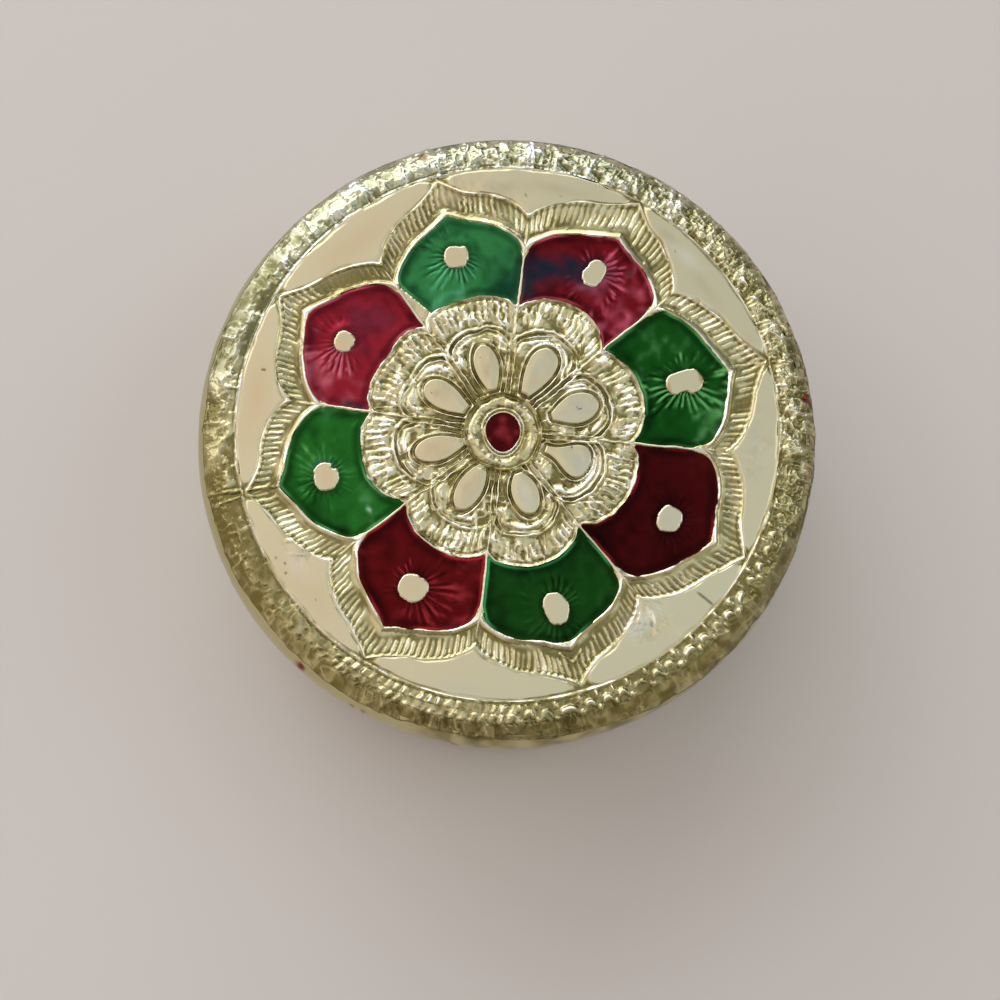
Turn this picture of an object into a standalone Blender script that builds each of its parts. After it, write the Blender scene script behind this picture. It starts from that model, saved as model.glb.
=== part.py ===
"""A round trinket box with a lift-off lid: turned walls under embossed foil, and an enamelled lotus.

Metres, +Z up, the origin at the middle of the underside. The front is -Y.
"""

import math

import bmesh
import bpy
import numpy as np
from mathutils.geometry import delaunay_2d_cdt

MM = 0.001

# Sizes of the whole box
OUTER_RADIUS = 38.0 * MM
BOX_HEIGHT = 36.0 * MM
LID_HEIGHT = 13.0 * MM
SHOULDER_RADIUS = 4.0 * MM
SHOULDER_DEGREES = 60.0

# Walls, rebate and gaps
FOIL = 0.4 * MM
GAP = 0.3 * MM
SKIRT_WALL = 2.4 * MM
COLLAR_WALL = 1.8 * MM
COLLAR_CLEARANCE = 0.4 * MM
COLLAR_HEIGHT = 5.0 * MM
LID_CEILING = 3.0 * MM
FLOOR = 4.0 * MM
EDGE_BREAK = 0.8 * MM
BAND_INSET = 0.15 * MM

# Relief of the foil sheet, up or down from its flat ground
CELL_DEPTH = 0.75 * MM
ENAMEL_SINK = 0.12 * MM
DOT_RISE = 0.1 * MM
LINE_RISE = 0.12 * MM
HOLLOW_DEPTH = 0.35 * MM
BORDER_DEPTH = 0.25 * MM
STEP_WIDTH = 0.22 * MM
LINE_WIDTH = 0.45 * MM

# The pattern's ring and its lotus each sit a little off the lid's centre, as they were pressed by hand
RING_MARGIN = 1.2 * MM
RING_AT = (0.12 * MM, 0.37 * MM)
LOTUS_AT = (-0.43 * MM, -0.21 * MM)
TIP_DEGREES = (15.5, 59.7, 104.5, 148.3, 193.5, 239.1, 286.9, 332.1)
BORDER_DEGREES = (39.6, 83.3, 125.8, 171.3, 217.2, 262.8, 308.9, 355.2)
PETALS = len(TIP_DEGREES)
HALF_PETAL = math.pi / PETALS

# The even pattern's curves, as shares of the radius of the ring round it
DOT_CELL = 0.064
DOT_LINE = 0.076
HUB_HOLLOW = 0.102
HUB_LINE = 0.146
DROP_FROM, DROP_TO = 0.166, 0.345
DROP_HALF_WIDTH = 0.050
COLLAR_STEP = 0.019
ARCH, ARCH_FOOT = 0.387, 0.293
LOBE, NOTCH = 0.520, 0.450
CELL_TIP, CELL_SHOULDER, CELL_SIDE = 0.855, 0.820, 0.694
BORDER_TIP, BORDER_SHOULDER, BORDER_SIDE = 0.985, 0.924, 0.802
TIP_REACH = 0.38
BOSS_AT, BOSS_RADIUS = 0.681, 0.049

# How far each curve is pressed outwards of the even one: at each petal's tip, then at the border after it
LOBE_PUSH = (
    (0.014, 0.029, 0.005, -0.002, 0.002, -0.026, -0.014, -0.008),
    (0.010, 0.013, 0.026, 0.023, -0.029, -0.020, -0.026, 0.004),
)
CELL_PUSH = (
    (0.020, 0.011, 0.005, 0.011, -0.005, -0.018, -0.035, 0.012),
    (0.035, 0.008, -0.014, -0.011, -0.041, -0.014, -0.017, 0.044),
)
BORDER_PUSH = (
    (0.027, 0.034, 0.006, -0.006, -0.018, -0.021, -0.021, 0.006),
    (0.020, 0.027, -0.018, -0.003, -0.018, -0.018, -0.024, 0.024),
)

# How far towards its border each petal's enamel runs, along the outer edge and along the lobe
OUTER_REACH, INNER_REACH = 0.93, 0.90

SIDES = 60
CURVE_POINTS = 6
EPSILON = 1e-7

GOLD = ((0.80, 0.74, 0.50), 0.25, 1.0)
RED = ((0.30, 0.005, 0.015), 0.12, 0.0)
GREEN = ((0.01, 0.16, 0.035), 0.12, 0.0)
WOOD = ((0.42, 0.27, 0.15), 0.70, 0.0)


def material(name, look):
    colour, roughness, metallic = look
    made = bpy.data.materials.new(name)
    made.use_nodes = True
    shader = made.node_tree.nodes["Principled BSDF"]
    shader.inputs["Base Color"].default_value = (*colour, 1.0)
    shader.inputs["Roughness"].default_value = roughness
    shader.inputs["Metallic"].default_value = metallic
    return made


def finished(name, bm, look):
    """A named object of this mesh, smooth but for its sharp edges."""
    bmesh.ops.recalc_face_normals(bm, faces=bm.faces)
    mesh = bpy.data.meshes.new(name)
    bm.to_mesh(mesh)
    bm.free()
    mesh.shade_smooth()
    mesh.set_sharp_from_angle(angle=math.radians(35))
    mesh.materials.append(look)
    made = bpy.data.objects.new(name, mesh)
    bpy.context.scene.collection.objects.link(made)
    return made


def turned(name, profile, look):
    """A closed profile of (radius, height) points spun about the box's axis."""
    bm = bmesh.new()
    points = [bm.verts.new((radius, 0, height)) for radius, height in profile]
    edges = [bm.edges.new((a, b)) for a, b in zip(points, points[1:])]
    if all(radius > 0 for radius, _ in profile):
        edges.append(bm.edges.new((points[-1], points[0])))
    bmesh.ops.spin(
        bm, geom=edges, cent=(0, 0, 0), axis=(0, 0, 1), angle=2 * math.pi, steps=SIDES, use_merge=True
    )
    bmesh.ops.remove_doubles(bm, verts=bm.verts, dist=0.001 * MM)
    return finished(name, bm, look)


# The rounded shoulder, which foil and lid share

FLAT_RADIUS = OUTER_RADIUS - SHOULDER_RADIUS
PATTERN_RADIUS = FLAT_RADIUS - RING_MARGIN
SHEET_THICKNESS = CELL_DEPTH + FOIL
SHOULDER_END = math.radians(SHOULDER_DEGREES)
SHEET_EDGE_RADIUS = FLAT_RADIUS + SHOULDER_RADIUS * math.sin(SHOULDER_END)


def shoulder_angle(radius):
    """How far round the shoulder's arc the outside lies at this radius, from 0 on the flat."""
    along = np.clip((radius - FLAT_RADIUS) / SHOULDER_RADIUS, 0.0, 1.0)
    return np.arcsin(along)


def outside_height(radius):
    return BOX_HEIGHT - SHOULDER_RADIUS * (1 - np.cos(shoulder_angle(radius)))


def sheet_thickness(radius):
    """The sheet thins from its relief's depth on the flat to bare foil at its folded edge."""
    share = np.clip(shoulder_angle(radius) / SHOULDER_END, 0.0, 1.0)
    return SHEET_THICKNESS + (FOIL - SHEET_THICKNESS) * share


def shoulder_points(inset_start, inset_end, count, angle_from=0.0, angle_to=math.pi / 2):
    """Points down the shoulder, inside the outer arc by insets that run from the first to the last."""
    points = []
    for step in range(count + 1):
        share = step / count
        angle = angle_from + (angle_to - angle_from) * share
        reach = SHOULDER_RADIUS - (inset_start + (inset_end - inset_start) * share)
        radius = FLAT_RADIUS + reach * math.sin(angle)
        points.append((radius, BOX_HEIGHT - SHOULDER_RADIUS + reach * math.cos(angle)))
    return points


# The turned cup and lid

SEAM_HEIGHT = BOX_HEIGHT - LID_HEIGHT
WALL_RADIUS = OUTER_RADIUS - FOIL - GAP
LID_INNER_RADIUS = WALL_RADIUS - SKIRT_WALL
COLLAR_RADIUS = LID_INNER_RADIUS - COLLAR_CLEARANCE
CUP_INNER_RADIUS = COLLAR_RADIUS - COLLAR_WALL
LID_INSET = SHEET_THICKNESS + GAP
CEILING_HEIGHT = BOX_HEIGHT - LID_INSET - LID_CEILING


def base(look):
    ledge = SEAM_HEIGHT - GAP
    collar_top = SEAM_HEIGHT + COLLAR_HEIGHT
    lead = COLLAR_WALL / 4
    return turned(
        "base",
        [
            (0, 0),
            (WALL_RADIUS - EDGE_BREAK, 0),
            (WALL_RADIUS, EDGE_BREAK),
            (WALL_RADIUS, ledge),
            (COLLAR_RADIUS, ledge),
            (COLLAR_RADIUS, collar_top - lead),
            (COLLAR_RADIUS - lead, collar_top),
            (CUP_INNER_RADIUS, collar_top),
            (CUP_INNER_RADIUS, FLOOR + EDGE_BREAK),
            (CUP_INNER_RADIUS - EDGE_BREAK, FLOOR),
            (0, FLOOR),
        ],
        look,
    )


def lid(look):
    side_inset = FOIL + GAP
    return turned(
        "lid",
        [
            (0, CEILING_HEIGHT),
            (LID_INNER_RADIUS, CEILING_HEIGHT),
            (LID_INNER_RADIUS, SEAM_HEIGHT),
            (WALL_RADIUS, SEAM_HEIGHT),
            *reversed(shoulder_points(LID_INSET, side_inset, 4)),
            (0, BOX_HEIGHT - LID_INSET),
        ],
        look,
    )


def lid_foil_band(look):
    """The strip from just under the sheet's folded edge, down the lid's side."""
    sheet_reach = SHEET_EDGE_RADIUS - FLAT_RADIUS
    sheet_corner = math.atan2(sheet_reach, SHOULDER_RADIUS * math.cos(SHOULDER_END) - FOIL)
    start = sheet_corner + GAP / (SHOULDER_RADIUS - FOIL)
    outer = shoulder_points(0, 0, 2, start)
    inner = shoulder_points(FOIL, FOIL, 2, start)
    bottom = SEAM_HEIGHT + BAND_INSET
    foot = [(OUTER_RADIUS, bottom), (OUTER_RADIUS - FOIL, bottom)]
    return turned("lid_foil_band", [*outer, *foot, *reversed(inner)], look)


def base_foil_band(look):
    low, high = EDGE_BREAK + BAND_INSET, SEAM_HEIGHT - GAP - BAND_INSET
    inner = OUTER_RADIUS - FOIL
    corners = [(inner, high), (OUTER_RADIUS, high), (OUTER_RADIUS, low), (inner, low)]
    return turned("base_foil_band", corners, look)


# The lotus: every petal is one half shape, mirrored about its tip, stretched to its own width and pressed

TIPS = np.radians(TIP_DEGREES)
BORDERS = np.radians(BORDER_DEGREES)
RING_SHIFT = ((RING_AT[0] - LOTUS_AT[0]) / PATTERN_RADIUS, (RING_AT[1] - LOTUS_AT[1]) / PATTERN_RADIUS)


def half_curve(radius_at, points=CURVE_POINTS, to=1.0):
    """A curve round the centre over half a petal, closer together towards the border, where it bends."""
    shares = [to * math.sin(math.pi / 2 * step / points) for step in range(points + 1)]
    return [
        (radius_at(u) * math.sin(u * HALF_PETAL), radius_at(u) * math.cos(u * HALF_PETAL)) for u in shares
    ]


def round_radius(u, top, foot):
    return foot + (top - foot) * np.maximum(0.0, 1 - u**2.2) ** 0.6


def arch_radius(u):
    return round_radius(u, ARCH, ARCH_FOOT)


def lobe_radius(u):
    return round_radius(u, LOBE, NOTCH)


def ogee_radius(u, tip, shoulder, side):
    round_part = side + (shoulder - side) * np.maximum(0.0, 1 - u**1.8) ** 0.75
    return round_part + (tip - shoulder) * np.maximum(0.0, 1 - u / TIP_REACH) ** 2


def cell_radius(u):
    return ogee_radius(u, CELL_TIP, CELL_SHOULDER, CELL_SIDE)


def border_radius(u):
    return ogee_radius(u, BORDER_TIP, BORDER_SHOULDER, BORDER_SIDE)


def petal_side(number, side):
    """The angle from a petal's tip to its border on this side, 1 or -1."""
    after = BORDERS[number] - TIPS[number]
    before = TIPS[number] - np.where(number == 0, BORDERS[-1] - 2 * math.pi, BORDERS[number - 1])
    return np.where(side > 0, after, before)


def even_and_pressed(number, side, u):
    """Radii of the hub, each curve and the ring, in the even pattern and as they lie on this lid."""
    even = np.array([HUB_LINE + 0 * u, lobe_radius(u), cell_radius(u), border_radius(u), 1 + 0 * u])
    near_tip = np.cos(u * math.pi / 2) ** 2
    border = np.where(side > 0, number, number - 1)
    pushes = [0 * u]
    for at_tips, at_borders in (LOBE_PUSH, CELL_PUSH, BORDER_PUSH):
        pushes.append(np.array(at_tips)[number] * near_tip + np.array(at_borders)[border] * (1 - near_tip))
    angle = TIPS[number] + side * u * petal_side(number, side)
    along = RING_SHIFT[0] * np.cos(angle) + RING_SHIFT[1] * np.sin(angle)
    sideways_shift = RING_SHIFT[0] * np.sin(angle) - RING_SHIFT[1] * np.cos(angle)
    pushes.append(along + np.sqrt(1 - sideways_shift**2) - 1)
    return even, even + np.array(pushes)


def carried(radius, old, new):
    """Radii carried from old places to new ones, evenly in between and by the same step past the last."""
    result = np.where(radius > old[-1], radius + new[-1] - old[-1], radius)
    for near, far, new_near, new_far in zip(old, old[1:], new, new[1:]):
        between = (radius > near) & (radius <= far)
        result = np.where(between, new_near + (new_far - new_near) * (radius - near) / (far - near), result)
    return result


def unfold(number, side, half_points):
    """Half-petal points, as shares, to places on the lid."""
    places = []
    for across, out in half_points:
        u = min(math.atan2(across, out) / HALF_PETAL, 1.0)
        even, pressed = even_and_pressed(number, side, u)
        radius = float(carried(math.hypot(across, out), even, pressed)) * PATTERN_RADIUS
        angle = float(TIPS[number] + side * u * petal_side(number, side))
        places.append((LOTUS_AT[0] + radius * math.cos(angle), LOTUS_AT[1] + radius * math.sin(angle)))
    return places


def fold(x, y):
    """Places on the lid to half-petal points, as shares, in arrays across and out."""
    dx, dy = x - LOTUS_AT[0], y - LOTUS_AT[1]
    angle = np.mod(np.arctan2(dy, dx) - BORDERS[-1], 2 * math.pi) + BORDERS[-1] - 2 * math.pi
    number = np.minimum(np.searchsorted(BORDERS, angle), PETALS - 1)
    side = np.where(angle > TIPS[number], 1, -1)
    u = np.minimum(np.abs(angle - TIPS[number]) / petal_side(number, side), 1.0)
    even, pressed = even_and_pressed(number, side, u)
    radius = carried(np.hypot(dx, dy) / PATTERN_RADIUS, pressed, even)
    return radius * np.sin(u * HALF_PETAL), radius * np.cos(u * HALF_PETAL)


def drop_curve(grow=0.0, points=5):
    """Half of the drop-shaped boss: a round head away from the centre and a narrow foot."""
    head = DROP_TO - DROP_HALF_WIDTH
    reach = DROP_HALF_WIDTH + grow
    curve = []
    for step in range(points):
        angle = math.radians(105) * step / (points - 1)
        curve.append((reach * math.sin(angle), head + reach * math.cos(angle)))
    foot = DROP_FROM - grow / 2
    curve.append((0.55 * curve[-1][0], (curve[-1][1] + foot) / 2))
    return [*curve, (0.2 * DROP_HALF_WIDTH + grow / 2, foot), (0.0, foot)]


def boss_curve(radius, points=4):
    angles = [math.pi * step / points for step in range(points + 1)]
    return [(radius * math.sin(a), BOSS_AT + radius * math.cos(a)) for a in angles]


def drop_collar():
    """The U-shaped line round the drop, down to the hub."""
    curve = drop_curve(COLLAR_STEP, 5)[:5]
    return [*curve, (curve[-1][0] * 0.72, (curve[-1][1] + HUB_LINE) / 2)]


def border_line(radius_from, radius_to, points=3):
    """A line down the border between two petals."""
    radii = [radius_from + (radius_to - radius_from) * step / points for step in range(points + 1)]
    return [(r * math.sin(HALF_PETAL), r * math.cos(HALF_PETAL)) for r in radii]


def distance_to(across, out, line):
    """The distance from each point to a line of half-petal points."""
    nearest = np.full(len(across), np.inf)
    for (ax, ay), (bx, by) in zip(line, line[1:]):
        dx, dy = bx - ax, by - ay
        length = dx * dx + dy * dy
        if length == 0:
            continue
        along = np.clip(((across - ax) * dx + (out - ay) * dy) / length, 0, 1)
        nearest = np.minimum(nearest, np.hypot(across - ax - along * dx, out - ay - along * dy))
    return nearest


def sideways(line, step):
    """A line moved to its left by this step."""
    moved = []
    for index, (x, y) in enumerate(line):
        ax, ay = line[max(index - 1, 0)]
        bx, by = line[min(index + 1, len(line) - 1)]
        length = math.hypot(bx - ax, by - ay)
        moved.append((max(x - (by - ay) / length * step, 0.0), y + (bx - ax) / length * step))
    return moved


ARCH_LINE = half_curve(arch_radius)
SCALLOP = half_curve(lobe_radius)
CELL_EDGE = half_curve(cell_radius)
BORDER_EDGE = half_curve(border_radius)
SIDE_LINE = border_line(NOTCH, CELL_SIDE)
ROSETTE_LINE = border_line(HUB_LINE, NOTCH)
HALF_LINE = LINE_WIDTH / PATTERN_RADIUS / 2
STEP = STEP_WIDTH / PATTERN_RADIUS


def relief(x, y):
    """Height of the foil above its flat ground, for places inside the ring."""
    across, out = fold(x, y)
    radius = np.hypot(across, out)
    share = np.arctan2(across, out) / HALF_PETAL
    share = np.clip(share, 0, 1)
    arch, lobe, cell = arch_radius(share), lobe_radius(share), cell_radius(share)

    step_down = np.clip(distance_to(across, out, BORDER_EDGE) / STEP, 0, 1)
    height = np.where(radius < border_radius(share), -BORDER_DEPTH * step_down, 0.0)
    in_cell = (radius < cell) & (radius > lobe)
    height[in_cell] = -CELL_DEPTH
    height[radius < lobe] = -HOLLOW_DEPTH / 2
    height[radius < arch] = -HOLLOW_DEPTH
    height[radius < HUB_LINE] = -HOLLOW_DEPTH
    height[radius < DOT_LINE] = -CELL_DEPTH

    def raise_line(distance, top):
        slope = 1 - np.clip(distance / HALF_LINE, 0, 1)
        np.copyto(height, height + (top - height) * slope)

    for line in (drop_collar(), ARCH_LINE, SCALLOP, CELL_EDGE, SIDE_LINE, ROSETTE_LINE):
        raise_line(distance_to(across, out, line), 0.0)
    for ring in (DOT_LINE, HUB_LINE, 1.0):
        raise_line(np.abs(radius - ring), LINE_RISE)

    boss = np.hypot(across, out - BOSS_AT)
    on_boss = np.clip((BOSS_RADIUS + STEP - boss) / STEP, 0, 1)
    height = height + (DOT_RISE - height) * on_boss
    drop = drop_curve()
    left = np.interp(out, [p[1] for p in reversed(drop)], [p[0] for p in reversed(drop)], left=0, right=0)
    gap = np.where((across < left), 0.0, distance_to(across, out, drop))
    on_drop = np.clip(1 - gap / STEP, 0, 1)
    return height + (DOT_RISE - height) * on_drop


def sheet_top(x, y):
    radius = np.hypot(x, y)
    raised = np.where(radius < FLAT_RADIUS + LINE_WIDTH, relief(x, y), 0.0)
    return outside_height(radius) + raised


def sheet_underside(x, y):
    radius = np.hypot(x, y)
    return outside_height(radius) - sheet_thickness(radius)


def circle(radius, count, centre=(0.0, 0.0)):
    angles = [2 * math.pi * step / count for step in range(count)]
    return [(centre[0] + radius * math.cos(a), centre[1] + radius * math.sin(a)) for a in angles]


def is_within(x, y, outline):
    """Whether a place lies inside a closed outline."""
    within = False
    for (ax, ay), (bx, by) in zip(outline, [*outline[1:], outline[0]]):
        if (ay > y) != (by > y) and x < ax + (bx - ax) * (y - ay) / (by - ay):
            within = not within
    return within


def triangles(outlines, guides):
    """Triangles inside the first outline and outside the others, with edges along the guides.

    It returns the points, the triangles, and each outline's points in order as indices.
    """
    points, edges, loops = [], [], []
    for outline in outlines:
        loop = range(len(points), len(points) + len(outline))
        points.extend(outline)
        edges.extend(zip(loop, [*loop[1:], loop[0]]))
        loops.append(loop)
    for guide in guides:
        first = len(points)
        points.extend(guide)
        edges.extend((i, i + 1) for i in range(first, len(points) - 1))
    made, _, faces, sources, _, _ = delaunay_2d_cdt(points, edges, [], 1, EPSILON)
    index_of = {old: new for new, olds in enumerate(sources) for old in olds}

    def is_in_hole(face):
        x = sum(made[i].x for i in face) / 3
        y = sum(made[i].y for i in face) / 3
        return any(is_within(x, y, hole) for hole in outlines[1:])

    kept = [face for face in faces if not is_in_hole(face)]
    return [(p.x, p.y) for p in made], kept, [[index_of[i] for i in loop] for loop in loops]


def slab(name, outlines, top, top_guides, underside, under_guides, look):
    """A closed body between two heights over a plan: the first outline is its edge, any others are holes."""
    bm = bmesh.new()
    rims = []
    for height, guides in ((top, top_guides), (underside, under_guides)):
        points, faces, loops = triangles(outlines, guides)
        heights = height(*np.array(points).T)
        verts = [bm.verts.new((x, y, z)) for (x, y), z in zip(points, heights)]
        for face in faces:
            bm.faces.new([verts[i] for i in face])
        rims.append([[verts[i] for i in loop] for loop in loops])
    for upper, lower in zip(*rims):
        for i in range(len(upper)):
            j = (i + 1) % len(upper)
            bm.faces.new((upper[i], lower[i], lower[j], upper[j]))
    loose = [v for v in bm.verts if not v.link_faces]
    bmesh.ops.delete(bm, geom=loose, context="VERTS")
    return finished(name, bm, look)


def closed(line):
    return [*line, line[0]]


def ring_guides(radii, centre, count):
    return [closed(circle(radius, count, centre)) for radius in radii]


def petal_guides(number):
    """The lines of one petal that the sheet's triangles follow: each crest and its feet."""
    lines = [BORDER_EDGE, sideways(BORDER_EDGE, -STEP)]
    for crest in (ARCH_LINE, SCALLOP, CELL_EDGE):
        lines += [crest, sideways(crest, HALF_LINE), sideways(crest, -HALF_LINE)]
    for crest in (SIDE_LINE, ROSETTE_LINE):
        lines += [crest, sideways(crest, HALF_LINE)]
    lines += [drop_curve(), drop_curve(STEP), drop_collar()]
    lines += [boss_curve(BOSS_RADIUS), boss_curve(BOSS_RADIUS + STEP)]
    return [unfold(number, side, line) for side in (1, -1) for line in lines]


def lid_foil_sheet(look):
    guides = [line for number in range(PETALS) for line in petal_guides(number)]
    line = HALF_LINE
    hub = [DOT_CELL, DOT_LINE, DOT_LINE + line, HUB_HOLLOW, HUB_LINE, HUB_LINE + line]
    guides += ring_guides([share * PATTERN_RADIUS for share in hub], LOTUS_AT, 24)
    ring = [share * PATTERN_RADIUS for share in (1 - line, 1.0, 1 + line)]
    guides += ring_guides(ring, RING_AT, SIDES)
    angles = [SHOULDER_END * share for share in (0.35, 0.65, 0.85)]
    shoulder = [FLAT_RADIUS + SHOULDER_RADIUS * math.sin(angle) for angle in angles]
    guides += ring_guides(shoulder, (0, 0), SIDES)
    edge = circle(SHEET_EDGE_RADIUS, SIDES)
    under = ring_guides([FLAT_RADIUS, *shoulder], (0, 0), SIDES)
    return slab("lid_foil_sheet", [edge], sheet_top, guides, sheet_underside, under, look)


# Enamel, which lies in the sheet's cells with a gap all round

def level(height):
    return lambda x, y: np.full(len(x), height)


ENAMEL_TOP = level(BOX_HEIGHT - ENAMEL_SINK)
ENAMEL_UNDERSIDE = level(BOX_HEIGHT - CELL_DEPTH + GAP)
ENAMEL_GAP = GAP / PATTERN_RADIUS


def enamel_outline(number):
    """The cell's edge, drawn in by the gap: the outer ogee over the petal, then the lobe's edge back."""
    keep_off = HALF_LINE + ENAMEL_GAP
    outer = half_curve(lambda u: cell_radius(u) - keep_off, 6, OUTER_REACH)
    inner = half_curve(lambda u: lobe_radius(u) + keep_off, 5, INNER_REACH)
    right = unfold(number, 1, [*outer, *reversed(inner)])
    left = unfold(number, -1, [*outer, *reversed(inner)])
    return [*reversed(left[1:-1]), *right]


def enamel_petal(name, number, look):
    hole = boss_curve(BOSS_RADIUS + STEP + ENAMEL_GAP, 5)
    hole = [*unfold(number, 1, hole), *reversed(unfold(number, -1, hole[1:-1]))]
    outlines = [enamel_outline(number), hole]
    return slab(name, outlines, ENAMEL_TOP, [], ENAMEL_UNDERSIDE, [], look)


def enamel_centre(look):
    radius = DOT_CELL * PATTERN_RADIUS - GAP
    outline = circle(radius, 20, LOTUS_AT)
    return slab("enamel_centre", [outline], ENAMEL_TOP, [], ENAMEL_UNDERSIDE, [], look)


def main():
    for old in list(bpy.data.objects):
        bpy.data.objects.remove(old)
    wood, gold = material("wood", WOOD), material("gold_foil", GOLD)
    red, green = material("red_enamel", RED), material("green_enamel", GREEN)
    base(wood)
    base_foil_band(gold)
    lid(wood)
    lid_foil_band(gold)
    lid_foil_sheet(gold)
    for number in range(PETALS):
        pair = number // 2 + 1
        if number % 2:
            enamel_petal(f"enamel_red_{pair}", number, red)
        else:
            enamel_petal(f"enamel_green_{pair}", number, green)
    enamel_centre(red)


main()
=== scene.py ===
"""A round trinket box under embossed pale-gold foil, with red and green enamel in a lotus on its lid.

The relief is worked out in millimetres, about the middle of the lotus, and the meshes are in metres.
The front is -Y, and the camera looks down on the lid from a little in front of it.
"""

import math

import bpy
import numpy as np
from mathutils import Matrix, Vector

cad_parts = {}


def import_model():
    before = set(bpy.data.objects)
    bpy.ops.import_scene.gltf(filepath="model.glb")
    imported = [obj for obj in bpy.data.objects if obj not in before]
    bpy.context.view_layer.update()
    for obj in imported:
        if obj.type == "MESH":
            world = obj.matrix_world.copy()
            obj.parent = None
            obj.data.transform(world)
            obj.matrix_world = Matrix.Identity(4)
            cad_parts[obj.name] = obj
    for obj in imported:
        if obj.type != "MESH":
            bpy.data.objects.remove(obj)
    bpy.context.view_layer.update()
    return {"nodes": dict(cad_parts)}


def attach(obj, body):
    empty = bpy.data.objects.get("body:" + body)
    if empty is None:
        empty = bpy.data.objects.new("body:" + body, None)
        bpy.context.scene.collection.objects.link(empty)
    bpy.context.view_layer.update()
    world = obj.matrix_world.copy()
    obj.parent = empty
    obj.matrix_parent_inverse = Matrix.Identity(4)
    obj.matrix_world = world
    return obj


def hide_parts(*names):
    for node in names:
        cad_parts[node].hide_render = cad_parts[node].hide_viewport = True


MM = 0.001
TAU = 2 * math.pi

# The box, as the frame has it
OUTER_RADIUS = 38.0
BOX_HEIGHT = 36.0
SHOULDER_RADIUS = 4.0
FLAT_RADIUS = OUTER_RADIUS - SHOULDER_RADIUS
RING = 32.8
RING_AT = (0.12, 0.37)
LOTUS_AT = (-0.43, -0.21)

# The even lotus: where its petals lie, and the radii of its lines and curves
TIP_DEGREES = (15.5, 59.7, 104.5, 148.3, 193.5, 239.1, 286.9, 332.1)
BORDER_DEGREES = (39.6, 83.3, 125.8, 171.3, 217.2, 262.8, 308.9, 355.2)
PETALS = len(TIP_DEGREES)
HALF_PETAL = math.pi / PETALS
DOT_LINE = 2.5
HUB_BULGE = 3.75
HUB_LINE = 4.75
EGG_WIDTH, EGG_LEAN = 0.84, 0.04
ARCH, ARCH_FOOT = 13.2, 10.7
ARCH_GAP = 1.2
LOBE, NOTCH = 17.05, 14.76
CELL_TIP, CELL_SHOULDER, CELL_SIDE = 28.05, 26.9, 22.75
BAND_TIP, BAND_SHOULDER, BAND_SIDE = 32.3, 30.3, 26.3
TIP_REACH = 0.38
CURVE_POINTS = 36

# How far each curve is pressed outwards of the even one: at each petal's tip, then at the border after it
LOBE_PUSH = (
    (0.45, 0.95, 0.15, -0.05, 0.05, -0.85, -0.45, -0.25),
    (0.35, 0.45, 0.85, 0.75, -0.95, -0.65, -0.85, 0.15),
)
CELL_PUSH = (
    (0.65, 0.35, 0.15, 0.35, -0.15, -0.60, -1.15, 0.40),
    (1.15, 0.25, -0.45, -0.35, -1.35, -0.45, -0.55, 1.45),
)
BAND_PUSH = (
    (0.90, 1.10, 0.20, -0.20, -0.60, -0.70, -0.70, 0.20),
    (0.65, 0.90, -0.60, -0.10, -0.60, -0.60, -0.80, 0.80),
)

# Drops: angle, top, radius and half width where widest, radius and half width of the foot, taper
DROPS = (
    (18.1, 12.1, 9.6, 1.82, 6.2, 0.40, 1.0),
    (59.9, 11.8, 9.7, 1.72, 5.4, 0.55, 1.0),
    (103.5, 11.1, 8.7, 1.47, 5.4, 0.53, 1.0),
    (147.9, 11.1, 8.9, 1.62, 5.3, 0.66, 1.0),
    (194.1, 10.9, 8.5, 1.51, 4.9, 0.42, 1.0),
    (239.9, 10.8, 8.0, 1.50, 4.9, 0.52, 0.8),
    (289.7, 10.5, 7.9, 1.60, 5.3, 0.43, 0.8),
    (338.6, 11.2, 9.8, 2.00, 5.5, 0.42, 2.4),
)

# Gold dots in the petals: angle, radius, half width and half length
BOSSES = (
    (15.6, 22.8, 1.60, 2.25),
    (60.4, 22.8, 1.35, 1.75),
    (104.4, 22.6, 1.50, 1.45),
    (150.0, 22.3, 1.38, 1.20),
    (194.4, 21.9, 1.75, 1.50),
    (240.4, 21.6, 1.75, 1.65),
    (286.6, 22.2, 1.45, 1.95),
    (331.9, 22.5, 1.60, 1.50),
)

# Bites out of the dots, where enamel ran over them: angle, radius and reach
BITES = (
    (10.5, 22.4, 1.00),
    (18.2, 25.1, 0.40),
    (56.2, 22.2, 0.42),
    (63.0, 21.1, 0.28),
    (101.0, 21.5, 0.40),
    (191.5, 20.7, 0.35),
    (197.5, 23.4, 0.30),
)

# The rays pressed round each dot: the side where they are longer, in degrees, and how strong they are
LIT_SIDES = (-30, -45, 190, 215, 120, -20, 170, 10)
RAY_STRENGTHS = (1.0, 1.0, 0.85, 0.8, 0.6, 0.9, 0.65, 0.35)

# Heights of the relief above the smooth foil between petals and ring
CELL_FLOOR = -0.70
ENAMEL_LEVEL = -0.14
BAND_FLOOR = -0.30
HOLLOW = -0.36
TICKED_FLOOR = -0.24
SMOOTH_TOP = 0.06
LINE_TOP = 0.04

# Rounded corners of the cells, out by the bands, at the tips and in by the rosette, and of the smooth foil
OUTER_CORNER = 1.5
TIP_CORNER = 0.8
INNER_CORNER = 0.5
PLATEAU_CORNER = 1.6

# A wedge beside one border where the enamel misses its cell: angle and radius of both ends of its edge
BARE_EDGE = (124.7, 21.4, 119.0, 15.4)
BARE_BORDER = 2

# How many chased ticks go round the bands and the lobes, and how high they are
BAND_TICKS = 250
LOBE_TICKS = 118
TICK_HEIGHT = 0.14

# Where the bands' ticks are worn away: angle, radius and reach
WORN_BAND = (134.5, 27.0, 3.6)

# How many punched scales and grains would go round the rim, and how high they are
RIM_SCALES = 96
RIM_GRAINS = 190
PUNCH_HEIGHT = 0.38

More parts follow.
